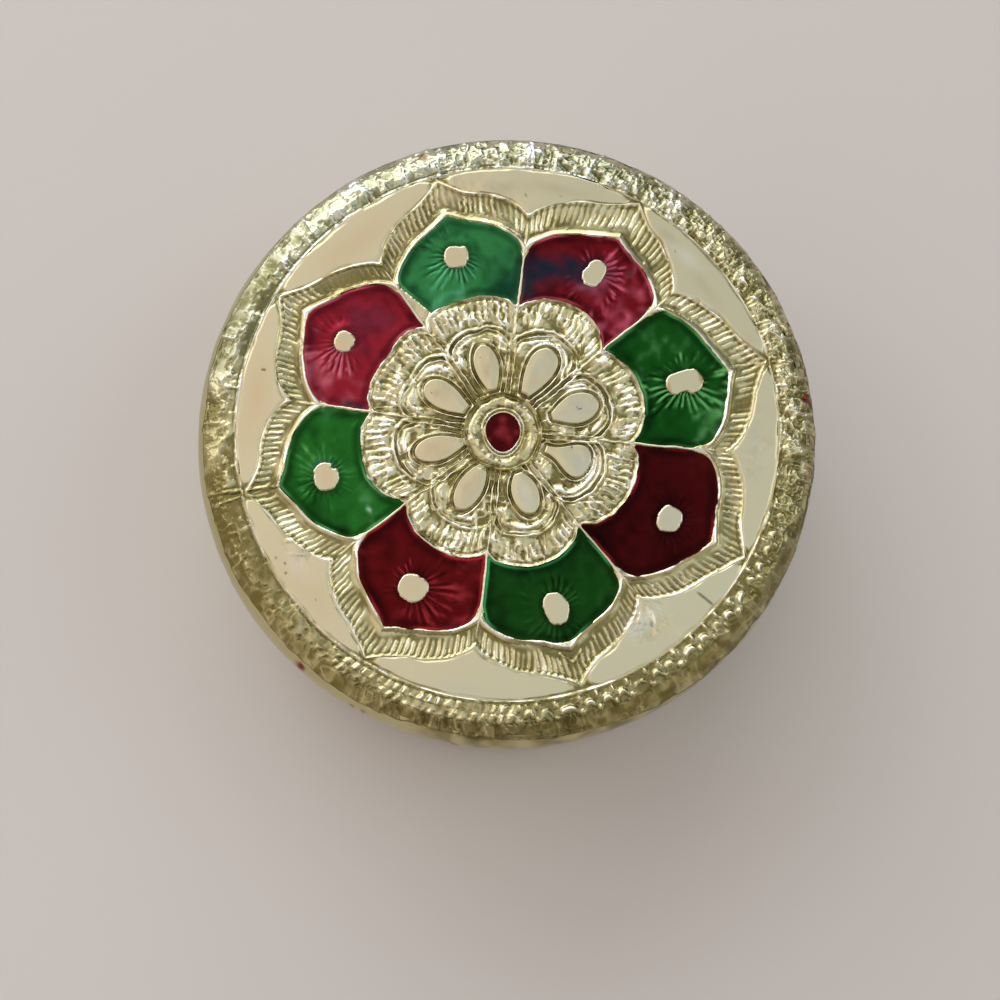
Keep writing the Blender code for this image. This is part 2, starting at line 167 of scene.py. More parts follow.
# The rim's stretches: the direction of each one's middle, and how far it is full and fades, in degrees
CRISP = (305, 28, 46)
GRAINY = (252, 14, 26)
CALM = (212, 16, 28)
BROAD = (150, 34, 54)
PLEATED = (75, 60, 100)
# The next three are painted light: painted shade at the left, painted light at the top and a painted silver
# sheen at the upper left
SHADED_LEFT = (170, 30, 60)
LIT_TOP = (100, 35, 60)
SHEEN_STRETCH = (112, 45, 75)

# How far the torn edge of the sheet hangs below its line
TORN_DROP = 0.45

# Where the smooth foil is crumpled: angle, radius, reach and height
CRUMPLES = (
    (306.5, 27.4, 3.0, 0.50),
    (303.5, 29.4, 2.4, 0.36),
    (212.0, 27.4, 2.6, 0.24),
    (208.0, 28.6, 2.2, 0.20),
    (99.0, 30.2, 3.2, 0.32),
    (108.0, 30.6, 2.0, 0.25),
    (90.0, 28.5, 3.0, 0.20),
    (16.0, 31.5, 1.8, 0.35),
    (193.8, 30.5, 1.8, 0.30),
    (352.0, 30.0, 2.5, 0.20),
    (357.0, 31.0, 2.2, 0.18),
    (3.0, 30.2, 2.0, 0.12),
)

# Creases across the foil: angle and radius of both ends, and height
CREASES = (
    (192.2, 36.4, 194.4, 24.4, 0.22),
    (194.6, 36.4, 193.2, 24.8, 0.18),
    (14.2, 36.2, 16.4, 28.8, 0.20),
    (289.6, 27.7, 286.9, 28.8, 0.16),
    (286.9, 28.8, 284.2, 27.5, 0.16),
    (127.5, 15.4, 116.0, 11.6, 0.20),
    (98.0, 11.0, 86.5, 10.0, 0.22),
    (45.0, 13.2, 57.0, 17.2, 0.16),
    (309.5, 26.8, 306.8, 30.2, 0.20),
    (311.4, 27.6, 309.4, 30.4, 0.16),
    (306.6, 27.2, 303.6, 29.4, 0.14),
    (212.5, 27.6, 210.0, 29.6, 0.12),
    (208.5, 27.6, 207.0, 29.0, 0.12),
)

# Stains: angle, radius, half width, half length, colour and strength
BLACK = (0.03, 0.025, 0.02)
BROWN = (0.20, 0.10, 0.05)
SPILT_RED = (0.16, 0.004, 0.004)
STAINS = (
    (319.9, 31.4, 0.07, 1.5, BLACK, 0.8),
    (165.2, 30.0, 0.15, 0.22, BLACK, 0.8),
    (76.7, 30.5, 0.12, 0.12, BLACK, 0.6),
    (84.5, 29.9, 0.10, 0.14, BLACK, 0.6),
    (213.5, 30.9, 0.10, 0.10, BROWN, 0.8),
    (211.5, 30.4, 0.12, 0.10, BROWN, 0.8),
    (209.5, 31.0, 0.08, 0.10, BROWN, 0.8),
    (222.5, 30.0, 0.10, 0.08, BROWN, 0.7),
    (36.0, 31.6, 0.10, 0.08, BROWN, 0.6),
    (47.0, 30.9, 0.08, 0.08, BLACK, 0.6),
    (17.0, 9.7, 0.07, 0.32, BLACK, 0.8),
    (18.4, 9.5, 0.22, 0.07, BLACK, 0.7),
    (150.8, 9.9, 0.10, 0.10, BROWN, 0.8),
    (106.5, 9.6, 0.08, 0.08, BROWN, 0.8),
    (347.5, 8.5, 0.20, 0.12, BLACK, 0.8),
    (6.6, 37.2, 0.7, 0.5, SPILT_RED, 0.9),
    (106.0, 36.4, 0.6, 0.5, BROWN, 0.8),
    (15.0, 20.7, 1.0, 0.32, (0.45, 0.29, 0.16), 0.8),
    (15.8, 24.9, 1.0, 0.28, (0.45, 0.29, 0.16), 0.8),
)

# Cloudy patches of the smooth foil, in the same terms: painted reflections of the room, warm on the left
# and grey on the right, and white and dun patches, the white ones by the crumples painted highlights
WARM = (0.59, 0.48, 0.30)
GREY = (0.51, 0.51, 0.43)
DUN = (0.38, 0.31, 0.20)
WHITE = (0.72, 0.69, 0.61)
CLOUDS_AND_REFLECTIONS = (
    (17.5, 9.7, 1.5, 2.2, GREY, 0.55),
    (59.6, 9.3, 0.9, 1.9, GREY, 0.50),
    (59.6, 7.2, 0.8, 1.2, WARM, 0.50),
    (103.5, 9.6, 1.2, 1.4, WARM, 0.45),
    (104.6, 7.9, 0.7, 1.2, DUN, 0.40),
    (147.9, 8.8, 1.3, 2.2, WARM, 0.60),
    (149.5, 9.4, 0.5, 0.5, DUN, 0.35),
    (194.1, 8.3, 1.4, 2.6, WARM, 0.80),
    (239.9, 8.0, 1.3, 2.4, WARM, 0.55),
    (289.0, 7.9, 0.9, 2.0, WHITE, 0.35),
    (338.2, 9.9, 1.6, 1.6, GREY, 0.65),
    (77.0, 31.3, 4.0, 1.0, DUN, 0.30),
    (90.0, 30.8, 3.0, 0.9, DUN, 0.28),
    (44.0, 31.4, 2.4, 0.9, WHITE, 0.50),
    (36.0, 30.6, 3.0, 0.8, DUN, 0.22),
    (50.0, 31.8, 1.8, 0.6, DUN, 0.25),
    (213.5, 29.2, 2.6, 1.2, WHITE, 0.50),
    (220.0, 30.0, 6.0, 2.0, WARM, 0.50),
    (171.0, 30.2, 7.0, 2.2, WARM, 0.80),
    (127.0, 29.8, 8.0, 2.4, WARM, 0.80),
    (100.0, 30.8, 4.0, 1.6, WARM, 0.50),
    (262.0, 31.0, 4.0, 0.8, GREY, 0.30),
    (306.0, 28.2, 3.0, 1.4, WHITE, 0.55),
    (356.0, 30.6, 3.5, 1.0, GREY, 0.35),
    (104.4, 22.6, 1.5, 1.5, WARM, 0.50),
    (150.0, 22.3, 1.5, 1.5, WARM, 0.80),
    (194.4, 21.9, 1.8, 1.6, WARM, 0.70),
    (240.4, 21.6, 1.8, 1.7, WARM, 0.40),
    (331.9, 22.5, 1.7, 1.6, GREY, 0.40),
)

# The colour of each petal's enamel, and of the light in its paler streaks
ENAMELS = (
    (0.006, 0.072, 0.007),
    (0.165, 0.006, 0.010),
    (0.030, 0.190, 0.055),
    (0.250, 0.013, 0.024),
    (0.014, 0.125, 0.015),
    (0.090, 0.003, 0.004),
    (0.006, 0.050, 0.005),
    (0.046, 0.0015, 0.002),
)
STREAKS = (
    (0.130, 0.420, 0.130),
    (0.640, 0.110, 0.180),
    (0.080, 0.330, 0.160),
    (0.480, 0.110, 0.160),
    (0.090, 0.330, 0.100),
    (0.300, 0.024, 0.030),
    (0.020, 0.095, 0.016),
    (0.070, 0.004, 0.004),
)

# The enamel of the middle dot, of stains and sheens, and what petals turn to at a glancing angle
CENTRE_RED = (0.060, 0.003, 0.004)
CENTRE_STREAK = (0.420, 0.040, 0.055)
NAVY = (0.012, 0.018, 0.034)
SLATE = (0.085, 0.13, 0.18)
PALE_GREEN = (0.30, 0.60, 0.35)
PLUM = (0.13, 0.022, 0.045)
GLANCING_GREEN = (0.03, 0.22, 0.05)
GLANCING_RED = (0.30, 0.02, 0.03)

# How far each petal's tip is cut back from the even one, and the colour of the light along its edge
TIP_CUT = (0.2, 0.1, -0.3, 0.3, -0.6, -0.2, 0.6, 0.3)
EDGE_GLOW = (
    (0.10, 0.42, 0.12),
    (0.62, 0.10, 0.16),
    (0.10, 0.40, 0.18),
    (0.60, 0.10, 0.16),
    (0.12, 0.46, 0.14),
    (0.42, 0.02, 0.03),
    (0.05, 0.42, 0.12),
    (0.36, 0.012, 0.018),
)

# Stains in the enamel, and the middle and reach of a grey-blue sheen on it, in millimetres
ENAMEL_STAINS = (
    (73.5, 21.3, 4.8, 1.3, NAVY, 1.0),
    (78.5, 19.9, 2.6, 1.6, NAVY, 1.0),
    (67.5, 22.6, 2.6, 1.4, NAVY, 0.9),
    (60.4, 22.6, 2.4, 2.5, NAVY, 0.55),
    (82.0, 17.8, 1.3, 1.5, NAVY, 0.8),
    (170.2, 17.6, 0.45, 0.9, NAVY, 0.8),
    (169.4, 18.9, 0.50, 0.8, (0.01, 0.03, 0.03), 0.75),
    (88.0, 18.6, 2.8, 1.9, (0.004, 0.05, 0.03), 0.6),
    (148.0, 21.0, 1.2, 2.6, NAVY, 0.25),
    (140.0, 22.0, 2.0, 2.6, PLUM, 0.60),
    (135.5, 20.0, 1.3, 2.0, PLUM, 0.55),
    (154.0, 26.0, 1.6, 0.9, (0.05, 0.004, 0.010), 0.60),
    (210.3, 18.6, 0.5, 0.28, PALE_GREEN, 0.9),
    (190.5, 22.0, 0.5, 1.2, (0.02, 0.10, 0.14), 0.8),
    (52.0, 25.2, 0.55, 0.4, (0.06, 0.03, 0.03), 0.85),
)
SHEEN_AT = (6.5, 19.5)
SHEEN_REACH = 4.5

# The foil's colours, from painted shade in its hollows to painted highlights on its raised lines
OLIVE = (0.185, 0.158, 0.056)
GOLD = (0.555, 0.50, 0.272)
PALE_GOLD = (0.61, 0.56, 0.37)
BRIGHT = (1.0, 0.98, 0.86)

# A painted sheen: how the foil's colour shifts to silver at the upper left of the rim
SHEEN_TINT = (0.90, 0.99, 1.22)

# The turned wood's grain
DARK_WOOD = (0.24, 0.13, 0.065)
PALE_WOOD = (0.50, 0.33, 0.19)

# The foil strips round the sides: bottom and top, and how far and how steeply their edges turn in
LID_STRIP = (23.15, 31.8)
BASE_STRIP = (1.0, 22.55)
TURNED_IN = 0.5
TURN_HEIGHT = 0.05

# Where each strip's end lies over its start, and how wide the lap is, in radians
LID_LAP = (4.53, 0.3)
BASE_LAP = (1.9, 0.25)

# Lines pressed round the lid and the base, and how many ticks go round between the base's
LID_LINE = 24.4
BASE_LINES = (2.0, 4.6, 18.6, 21.2)
LINE_WIDTH = 0.22
SIDE_TICKS = 240

# Marks on the lid's strip, in the same terms as the stains, and the heights between which they fade in
SIDE_STAINS = (
    (229.3, 36.9, 0.80, 0.40, SPILT_RED, 0.95),
    (243.5, 37.3, 0.35, 0.20, BROWN, 0.8),
    (241.0, 37.2, 0.20, 0.15, SPILT_RED, 0.8),
    (237.0, 37.4, 0.25, 0.15, BROWN, 0.8),
    (277.4, 38.2, 0.60, 0.25, BROWN, 0.9),
    (261.0, 37.6, 0.40, 0.20, BROWN, 0.8),
    (286.0, 38.0, 0.30, 0.20, BROWN, 0.7),
)
MARKED_FROM = (32.2, 33.0)

# The room: each light is a soft patch round a direction, with the cosines where it starts and is full
DARK_SIDE = (0.085, 0.070, 0.050)
ROOM_LIGHTS = (
    ((-1.0, -0.15, 0.1), -0.1, 0.8, (0.76, 0.66, 0.56)),
    ((0.9, 0.25, 0.25), 0.3, 0.95, (0.36, 0.39, 0.42)),
    ((-0.15, 0.86, 0.40), 0.80, 0.92, (1.95, 2.00, 2.02)),
    ((0.05, 0.15, 1.0), 0.82, 0.94, (0.71, 0.74, 0.75)),
    ((-0.45, 0.18, 1.0), 0.86, 0.96, (1.05, 0.955, 0.915)),
    ((0.40, -0.20, 1.0), 0.87, 0.95, (0.83, 0.885, 0.97)),
    ((0.70, 0.12, 0.62), 0.935, 0.975, (1.45, 1.45, 1.42)),
    ((0.55, -0.70, 0.45), 0.74, 1.0, (0.56, 0.50, 0.39)),
)
WINDOW = ("window", (-0.54, 0.50, 0.40), (0.85, 0.85), 2.4, (0.92, 0.97, 1.04))
FLOOR_COLOUR = (0.585, 0.545, 0.52)
FLOOR_REACH = 3.0

# The camera, fitted to the box's outline in the photograph
CAMERA_DISTANCE = 185.0
CAMERA_ELEVATION = 81.1
CAMERA_LENS = 55.7
CAMERA_TARGET = (-0.785, -8.495)

# Further from a line than anything it reaches
FAR = 9.0


# Noise and curves

def smooth(low, high, value):
    share = np.clip((value - low) / (high - low), 0, 1)
    return share * share * (3 - 2 * share)


def crest(distance, width):
    """A rounded ridge: 1 on its line, and nothing a few widths away."""
    return np.exp(-((distance / width) ** 2))


def noise(x, y, size, seed, flat=False):
    """Noise from -1 to 1, in smooth blobs of this size, or in nearly flat faces with folds between them."""
    table = np.random.default_rng(seed).uniform(-1, 1, (256, 256))
    column, row = np.floor(x / size).astype(int), np.floor(y / size).astype(int)
    right, up = x / size - column, y / size - row
    if not flat:
        right, up = right * right * (3 - 2 * right), up * up * (3 - 2 * up)
    corners = [table[(column + i) % 256, (row + j) % 256] for i in (0, 1) for j in (0, 1)]
    low = corners[0] * (1 - right) + corners[2] * right
    high = corners[1] * (1 - right) + corners[3] * right
    return low * (1 - up) + high * up


def facets(x, y, size, seed):
    """Crumpled foil: flat faces at all angles, from -1 to 1."""
    x = x + 0.4 * size * noise(x, y, size * 1.6, seed + 2)
    y = y + 0.4 * size * noise(x, y, size * 1.6, seed + 3)
    leaning = noise(0.8 * x + 0.6 * y, 0.8 * y - 0.6 * x, size * 0.7, seed + 1, flat=True)
    return 0.65 * noise(x, y, size, seed, flat=True) + 0.35 * leaning


def wrinkles(x, y, size, seed):
    """A web of thin folds that stand up from the foil, from 0 to 1."""
    web = np.exp(-((noise(x, y, size, seed) / 0.15) ** 2))
    return web * np.clip(0.6 + 0.9 * noise(x, y, size * 1.7, seed + 1), 0, 1)


def creases(x, y, size, seed):
    """Crumpled foil: sharp folds between flat faces, from 0 in the hollows to 1 on a fold."""
    x = x + 0.35 * size * noise(x, y, size * 1.7, seed + 2)
    y = y + 0.35 * size * noise(x, y, size * 1.7, seed + 3)
    folds = 1 - np.abs(noise(x, y, size, seed)) * 1.8
    finer = 1 - np.abs(noise(x + 0.3 * y, y - 0.3 * x, size * 0.47, seed + 1)) * 1.8
    return 0.65 * np.clip(folds, 0, 1) + 0.35 * np.clip(finer, 0, 1)


def blend(below, above, share):
    return below + (above - below) * share


def tinged(colours, colour, share):
    return blend(colours, np.array(colour), share[..., None])


def rounded(a, b, corner):
    """How far places are inside a rounded corner, from how far they are from its two sides."""
    inside = corner - np.hypot(np.maximum(corner - a, 0), np.maximum(corner - b, 0))
    return np.where((a < corner) & (b < corner), inside, np.minimum(a, b))


def level(radius):
    """A curve at the same radius all the way round. All curves give a radius for a share of a petal."""
    return lambda u: radius + 0 * u


def rounded_curve(top, foot):
    return lambda u: foot + (top - foot) * np.maximum(0, 1 - np.abs(u) ** 2.2) ** 0.6


def ogee_curve(tip, shoulder, side):
    """A rounded curve with a pointed tip."""
    def radius_at(u):
        u = np.abs(u)
        round_part = side + (shoulder - side) * np.maximum(0, 1 - u**1.8) ** 0.75
        return round_part + (tip - shoulder) * np.maximum(0, 1 - u / TIP_REACH) ** 2

    return radius_at


hub_radius = level(HUB_LINE)
arch_radius = rounded_curve(ARCH, ARCH_FOOT)
lobe_radius = rounded_curve(LOBE, NOTCH)
cell_radius = ogee_curve(CELL_TIP, CELL_SHOULDER, CELL_SIDE)
band_radius = ogee_curve(BAND_TIP, BAND_SHOULDER, BAND_SIDE)
ring_radius = level(RING)


def half_curve(radius_at):
    """A curve over half a petal, as places across and out from the tip's line."""
    u = np.sin(np.linspace(0, math.pi / 2, CURVE_POINTS))
    return np.column_stack([radius_at(u) * np.sin(u * HALF_PETAL), radius_at(u) * np.cos(u * HALF_PETAL)])


def even_place(radius, u):
    """A place of the even lotus, across and out from its tip's line, and how far it is from the border."""
    turn = np.abs(u) * HALF_PETAL
    return radius * np.sin(turn), radius * np.cos(turn), radius * np.sin(HALF_PETAL - turn)


def distance_to(across, out, line):
    """The distance from each place to a line of points."""
    best = np.full(across.shape, np.inf)
    for (ax, ay), (bx, by) in zip(line, line[1:]):
        dx, dy = bx - ax, by - ay
        share = np.clip(((across - ax) * dx + (out - ay) * dy) / (dx * dx + dy * dy), 0, 1)
        best = np.minimum(best, np.hypot(across - ax - share * dx, out - ay - share * dy))
    return best


ARCH_LINE = half_curve(arch_radius)
SCALLOP = half_curve(lobe_radius)
CELL_EDGE = half_curve(cell_radius)
BAND_EDGE = half_curve(band_radius)


# From the even lotus to the pressed one

TIPS = np.radians(TIP_DEGREES)
BORDERS = np.radians(BORDER_DEGREES)
RING_SHIFT = (RING_AT[0] - LOTUS_AT[0], RING_AT[1] - LOTUS_AT[1])


def polar(degrees, radius):
    """A place given by its angle and radius about the middle of the lotus."""
    return radius * math.cos(math.radians(degrees)), radius * math.sin(math.radians(degrees))


def out_and_across(x, y, degrees):
    """How far places are out along a direction from the middle, and across it."""
    dx, dy = polar(degrees, 1.0)
    return x * dx + y * dy, y * dx - x * dy


def distance_from(x, y, degrees, radius):
    """How far places are from one given by its angle and radius."""
    middle = polar(degrees, radius)
    return np.hypot(x - middle[0], y - middle[1])


def petal_of(angle):
    """Each angle's petal, and its share of the way from the tip, 0, to the border, -1 or 1."""
    angle = np.mod(angle - BORDERS[-1], TAU) + BORDERS[-1] - TAU
    number = np.minimum(np.searchsorted(BORDERS, angle), PETALS - 1)
    offset = angle - TIPS[number]
    after = BORDERS[number] - TIPS[number]
    before = TIPS[number] - np.where(number == 0, BORDERS[-1] - TAU, BORDERS[number - 1])
    return number, offset / np.where(offset > 0, after, before)


def push_of_ring(angle):
    along = RING_SHIFT[0] * np.cos(angle) + RING_SHIFT[1] * np.sin(angle)
    across = RING_SHIFT[0] * np.sin(angle) - RING_SHIFT[1] * np.cos(angle)
    return along + np.sqrt(RING**2 - across**2) - RING


def pressed(radius, angle):
    """Where the even pattern's places lie on this lid, which was pressed and glued by hand."""
    number, u = petal_of(angle)
    near_tip = np.cos(u * math.pi / 2) ** 2
    border = np.where(u > 0, number, number - 1)
    knots = [curve(u) for curve in (hub_radius, lobe_radius, cell_radius, band_radius, ring_radius)]
    pushes = [0 * u]
    for at_tips, at_borders in (LOBE_PUSH, CELL_PUSH, BAND_PUSH):
        pushes.append(blend(np.array(at_borders)[border], np.array(at_tips)[number], near_tip))
    pushes.append(push_of_ring(angle))
    pushed = 0.0
    for near, far, before, after in zip(knots, knots[1:], pushes, pushes[1:]):
        share = np.clip((radius - near) / (far - near), 0, 1)
        pushed = pushed + (after - before) * share
    x = (radius + pushed) * np.cos(angle)
    y = (radius + pushed) * np.sin(angle)
    loose = smooth(1, 6, radius) * (1 - smooth(31, RING, radius))
    shake_x = 0.13 * noise(x, y, 5.0, 11) + 0.08 * noise(x, y, 1.6, 12)
    shake_y = 0.13 * noise(x, y, 5.0, 13) + 0.08 * noise(x, y, 1.6, 14)
    tight = 0.09 * smooth(18, 15, radius)
    shake_x = shake_x + tight * noise(x, y, 0.7, 15)
    shake_y = shake_y + tight * noise(x, y, 0.7, 16)
    return x + loose * shake_x, y + loose * shake_y


# The relief of the lotus: each part gives heights, shades from olive, 0, to pale, 1, which carry painted
# light and shade, and crinkles, 0 to 1

def drop_distance(x, y):
    """The distance outside the nearest drop-shaped boss, less than 0 inside it."""
    best = np.full(x.shape, np.inf)
    for degrees, top, widest, half, foot, foot_half, taper in DROPS:
        out, across = out_and_across(x, y, degrees)
        across = np.abs(across)
        share = np.clip((out - foot) / (widest - foot), 0, 1)
        side = across - blend(foot_half, half, np.sin(share * math.pi / 2) ** taper)
        head = (np.hypot(across / half, np.maximum(out - widest, 0) / (top - widest)) - 1) * half
        below = np.hypot(np.maximum(across - foot_half, 0), foot - out)
        distance = np.where(out > widest, head, np.where(out < foot, below, side * 0.93))
        best = np.minimum(best, distance)
    return best


def boss_distance(x, y, number):
    """The distance outside a petal's gold dot, a rounded lozenge with an uneven edge."""
    degrees, radius, half_width, half_length = BOSSES[number]
    out, across = out_and_across(x, y, degrees)
    out = out - radius
    size = (np.abs(across / half_width) ** 2.4 + np.abs(out / half_length) ** 2.4) ** (1 / 2.4)
    uneven = 0.15 * noise(x, y, 1.1, 25) + 0.06 * noise(x, y, 0.4, 26)
    distance = (size - 1) * min(half_width, half_length) + uneven
    for bite_degrees, bite_radius, reach in BITES:
        distance = np.maximum(distance, reach - distance_from(x, y, bite_degrees, bite_radius))
    return distance


def nearest_boss(x, y):
    return np.minimum.reduce([boss_distance(x, y, number) for number in range(PETALS)])


def ticks(angle, count, x, y, seed):
    """Chased ticks: uneven ridges, 0 to 1, and how much longer each one is than most."""
    phase = angle * count / TAU + 0.30 * noise(x, y, 2.6, seed) + 0.10 * noise(x, y, 0.9, seed + 1)
    number = np.floor(phase + 0.5).astype(int) % 256
    strengths, lengths = np.random.default_rng(seed + 2).uniform(-1, 1, (2, 256))
    away = np.abs(phase - np.floor(phase + 0.5)) * 2
    width = 0.52 + 0.12 * noise(x, y, 1.4, seed + 3)
    strength = 0.72 + 0.28 * strengths[number] + 0.35 * noise(x, y, 1.6, seed + 4)
    return np.exp(-((away / width) ** 2)) * np.clip(strength, 0.05, 1.1), lengths[number]


def laid(parts, line, top, shade=1.35, crinkle=0.5):
    """A line or a smooth boss laid over the height, shade and crinkle below it; a shade above 1 is a
    painted highlight.
    """
    height, below_shade, below_crinkle = parts
    return (
        blend(height, top, line),
        blend(below_shade, shade, line),
        blend(below_crinkle, crinkle, line),
    )


def ridge(parts, distance, width, x, y, top=LINE_TOP, least=0.15):
    """A thin raised line, worn and pressed unevenly, with a shallow groove along each side, a painted
    highlight along the line and painted shade in the grooves.
    """
    strength = np.clip(0.72 + 0.6 * noise(x, y, 2.3, 17) + 0.3 * noise(x, y, 0.7, 18), least, 1)
    width = width * (0.75 + 0.35 * strength)
    line = crest(distance, width) * strength
    groove = crest(np.abs(distance) - 2.9 * width, 1.2 * width) * strength
    height, shade, crinkle = laid(parts, line, top)
    height = height - 0.07 * groove
    shade = blend(parts[1] - 0.50 * groove, 1.15 + 0.4 * strength, crest(distance, 1.4 * width) * strength)
    return height, shade, crinkle


def egg(x, y):
    """The distance from the middle, as if the egg-shaped dot there were round."""
    return np.hypot(x / (EGG_WIDTH + EGG_LEAN * y), y)


def hub_relief(radius, angle, u, x, y):
    dents = 0.05 * noise(x, y, 1.5, 23) + 0.16 * facets(x, y, 1.1, 24) + 0.07 * facets(x, y, 0.5, 27)
    lit = 0.5 + 0.5 * np.cos(np.arctan2(y, x) - math.radians(150))
    bulge = crest(radius - HUB_BULGE - 0.25 * noise(x, y, 1.6, 26), 0.42) * (0.45 + 0.55 * lit)
    # Painted light: lighter toward the upper left, on the bulge and where the dents rise, with painted
    # highlights on the wrinkles
    shade = 0.10 + 0.15 * lit + 0.70 * bulge + 3.0 * dents + 0.90 * wrinkles(x, y, 0.9, 25)
    parts = (HOLLOW + 0.24 * bulge + dents, shade, 1 + 0 * radius)
    from_dot = egg(x, y) - DOT_LINE
    parts = ridge(parts, from_dot, 0.10, x, y, 0.04, 0.3)
    parts = ridge(parts, from_dot - 0.42, 0.08, x, y, -0.10, 0.0)
    parts = ridge(parts, radius - HUB_LINE, 0.12, x, y, 0.06, 0.9)
    height = np.where(from_dot < 0, np.minimum(parts[0], 0.04 + 1.9 * from_dot), parts[0])
    return np.maximum(height, CELL_FLOOR), parts[1], parts[2]


def rosette_floor(inside_arch, drop, x, y):
    """The crumpled foil under the rosette's lines and drops, with painted light and shade on its crumples
    and painted highlights on its folds.
    """
    crumple = facets(x, y, 1.1, 31)
    finer = facets(x, y, 0.55, 46)
    folds = wrinkles(x, y, 0.9, 45) * smooth(0.3, 0.6, drop)
    floor = blend(TICKED_FLOOR, HOLLOW, inside_arch) + 0.17 * crumple + 0.07 * finer + 0.07 * folds
    shade = 0.24 + 0.30 * noise(x, y, 1.8, 33) * inside_arch + 0.60 * crumple + 0.45 * finer + 1.0 * folds
    return floor, shade + 0.30 * inside_arch * noise(x, y, 1.2, 34)


def rosette_relief(radius, angle, u, x, y):
    """Ticked lobes round eight arches, each with lines inside it and a smooth drop."""
    across, out, from_border = even_place(radius, u)
    from_lobe = distance_to(across, out, SCALLOP)
    from_arch = distance_to(across, out, ARCH_LINE)
    inside_arch = smooth(0.15, -0.15, radius - arch_radius(u))
    drop = drop_distance(x, y)
    floor, shade = rosette_floor(inside_arch, drop, x, y)
    share = from_lobe / (from_lobe + from_arch + 1e-6)
    raised, longer = ticks(angle, LOBE_TICKS, x, y, 21)
    end = 0.70 + 0.20 * longer
    raised = raised * smooth(0.06, 0.2, share) * smooth(end + 0.12, end, share)
    raised = raised * (1 - inside_arch) * smooth(0.2, 0.8, from_border)
    # Painted highlights on the ticks
    parts = (floor + TICK_HEIGHT * raised, shade + 1.05 * raised, 1 + 0 * radius)

    worn = np.clip(0.75 + 0.9 * noise(x, y, 1.5, 35), 0, 1)
    for gap, width, top in ((ARCH_GAP, 0.30, -0.10), (0.42 * ARCH_GAP, 0.10, -0.10)):
        inner = gap + 0.20 * noise(x, y, 2.0, 36)
        inner_arch = inside_arch * smooth(0.2, 0.6, from_border) * smooth(0.45, 0.8, drop) * worn
        parts = ridge(parts, np.where(inner_arch > 0.2, from_arch - inner, FAR), width, x, y, top, 0.1)
    parts = ridge(parts, drop - 0.45, 0.09, x, y, -0.04, 0.1)
    parts = ridge(parts, from_arch, 0.12, x, y, 0.0, 0.3)
    sides = smooth(HUB_LINE, HUB_LINE + 0.6, radius) * (1 - smooth(11.2, 12.2, radius))
    parts = ridge(parts, np.where(sides > 0.3, from_border - 0.32, FAR), 0.10, x, y, -0.02, 0.1)
    parts = laid(parts, crest(from_border, 0.12) * smooth(11.0, 12.2, radius), -0.02, 1.25)
    parts = smooth_drops(parts, drop, x, y)
    parts = ridge(parts, from_lobe, 0.15, x, y, LINE_TOP, 0.3)
    return ridge(parts, radius - HUB_LINE, 0.12, x, y, 0.06, 0.9)


def smooth_drops(parts, drop, x, y):
    """Pale drops, a little pillowed, in the shade of their own edges."""
    shaded = np.clip(0.35 + 0.5 * noise(x, y, 1.3, 49), 0, 0.7)
    parts = (parts[0], parts[1] - shaded * crest(drop - 0.16, 0.10), parts[2])
    pillow = 0.05 * smooth(0.0, -0.9, drop) + 0.05 * facets(x, y, 1.6, 47)
    pale = 0.94 + 0.10 * facets(x, y, 0.9, 48)
    return laid(parts, 1 - smooth(-0.04, 0.10, drop), SMOOTH_TOP - 0.05 + pillow, pale, 0.12)


def inside_cell(from_edge, from_lobe, from_border, from_tip, x, y):
    """How far places are inside a petal's cell, with its corners rounded and one of them left bare."""
    outer = rounded(rounded(from_edge, from_tip, TIP_CORNER), from_border, OUTER_CORNER)
    inner = rounded(from_lobe, from_border, INNER_CORNER)
    start, end = polar(*BARE_EDGE[:2]), polar(*BARE_EDGE[2:])
    along = np.subtract(end, start) / math.dist(start, end)
    beside = (y - start[1]) * along[0] - (x - start[0]) * along[1]
    near = np.abs(np.degrees(np.arctan2(y, x)) - BORDER_DEGREES[BARE_BORDER] + 11.5) < 12
    uneven = 0.06 * noise(x, y, 1.6, 19) + 0.03 * noise(x, y, 0.5, 20)
    return np.minimum(np.minimum(outer, inner), np.where(near, beside, np.inf)) + uneven


def cell_relief(radius, angle, u, x, y):
    across, out, from_border = even_place(radius, u)
    from_lobe, from_edge = distance_to(across, out, SCALLOP), distance_to(across, out, CELL_EDGE)
    number, _ = petal_of(np.arctan2(y, x))
    from_tip = CELL_TIP - np.array(TIP_CUT)[number] - out
    inside = inside_cell(from_edge, from_lobe, from_border, from_tip, x, y)
    foil = smooth(0.34, 0.10, inside)
    height = blend(CELL_FLOOR, -0.04 + 0.05 * facets(x, y, 1.2, 30), foil)
    # Painted light and shade on crumples and wrinkles; a painted highlight runs round each gold dot's edge
    shade = 0.35 + 0.35 * foil + 0.45 * facets(x, y, 0.9, 32) + 0.5 * wrinkles(x, y, 1.0, 33)
    parts = (height, shade, 1 + 0 * radius)
    boss = nearest_boss(x, y)
    parts = laid(parts, 1 - smooth(-0.05, 0.14, boss), SMOOTH_TOP, 1.02, 0.05)
    parts = laid(parts, crest(boss + 0.05, 0.10), SMOOTH_TOP, 1.2, 0.5)
    parts = ridge(parts, np.minimum(from_edge, from_lobe), 0.17, x, y, LINE_TOP, 0.3)
    return laid(parts, crest(from_border, 0.15), 0.02, 1.2)


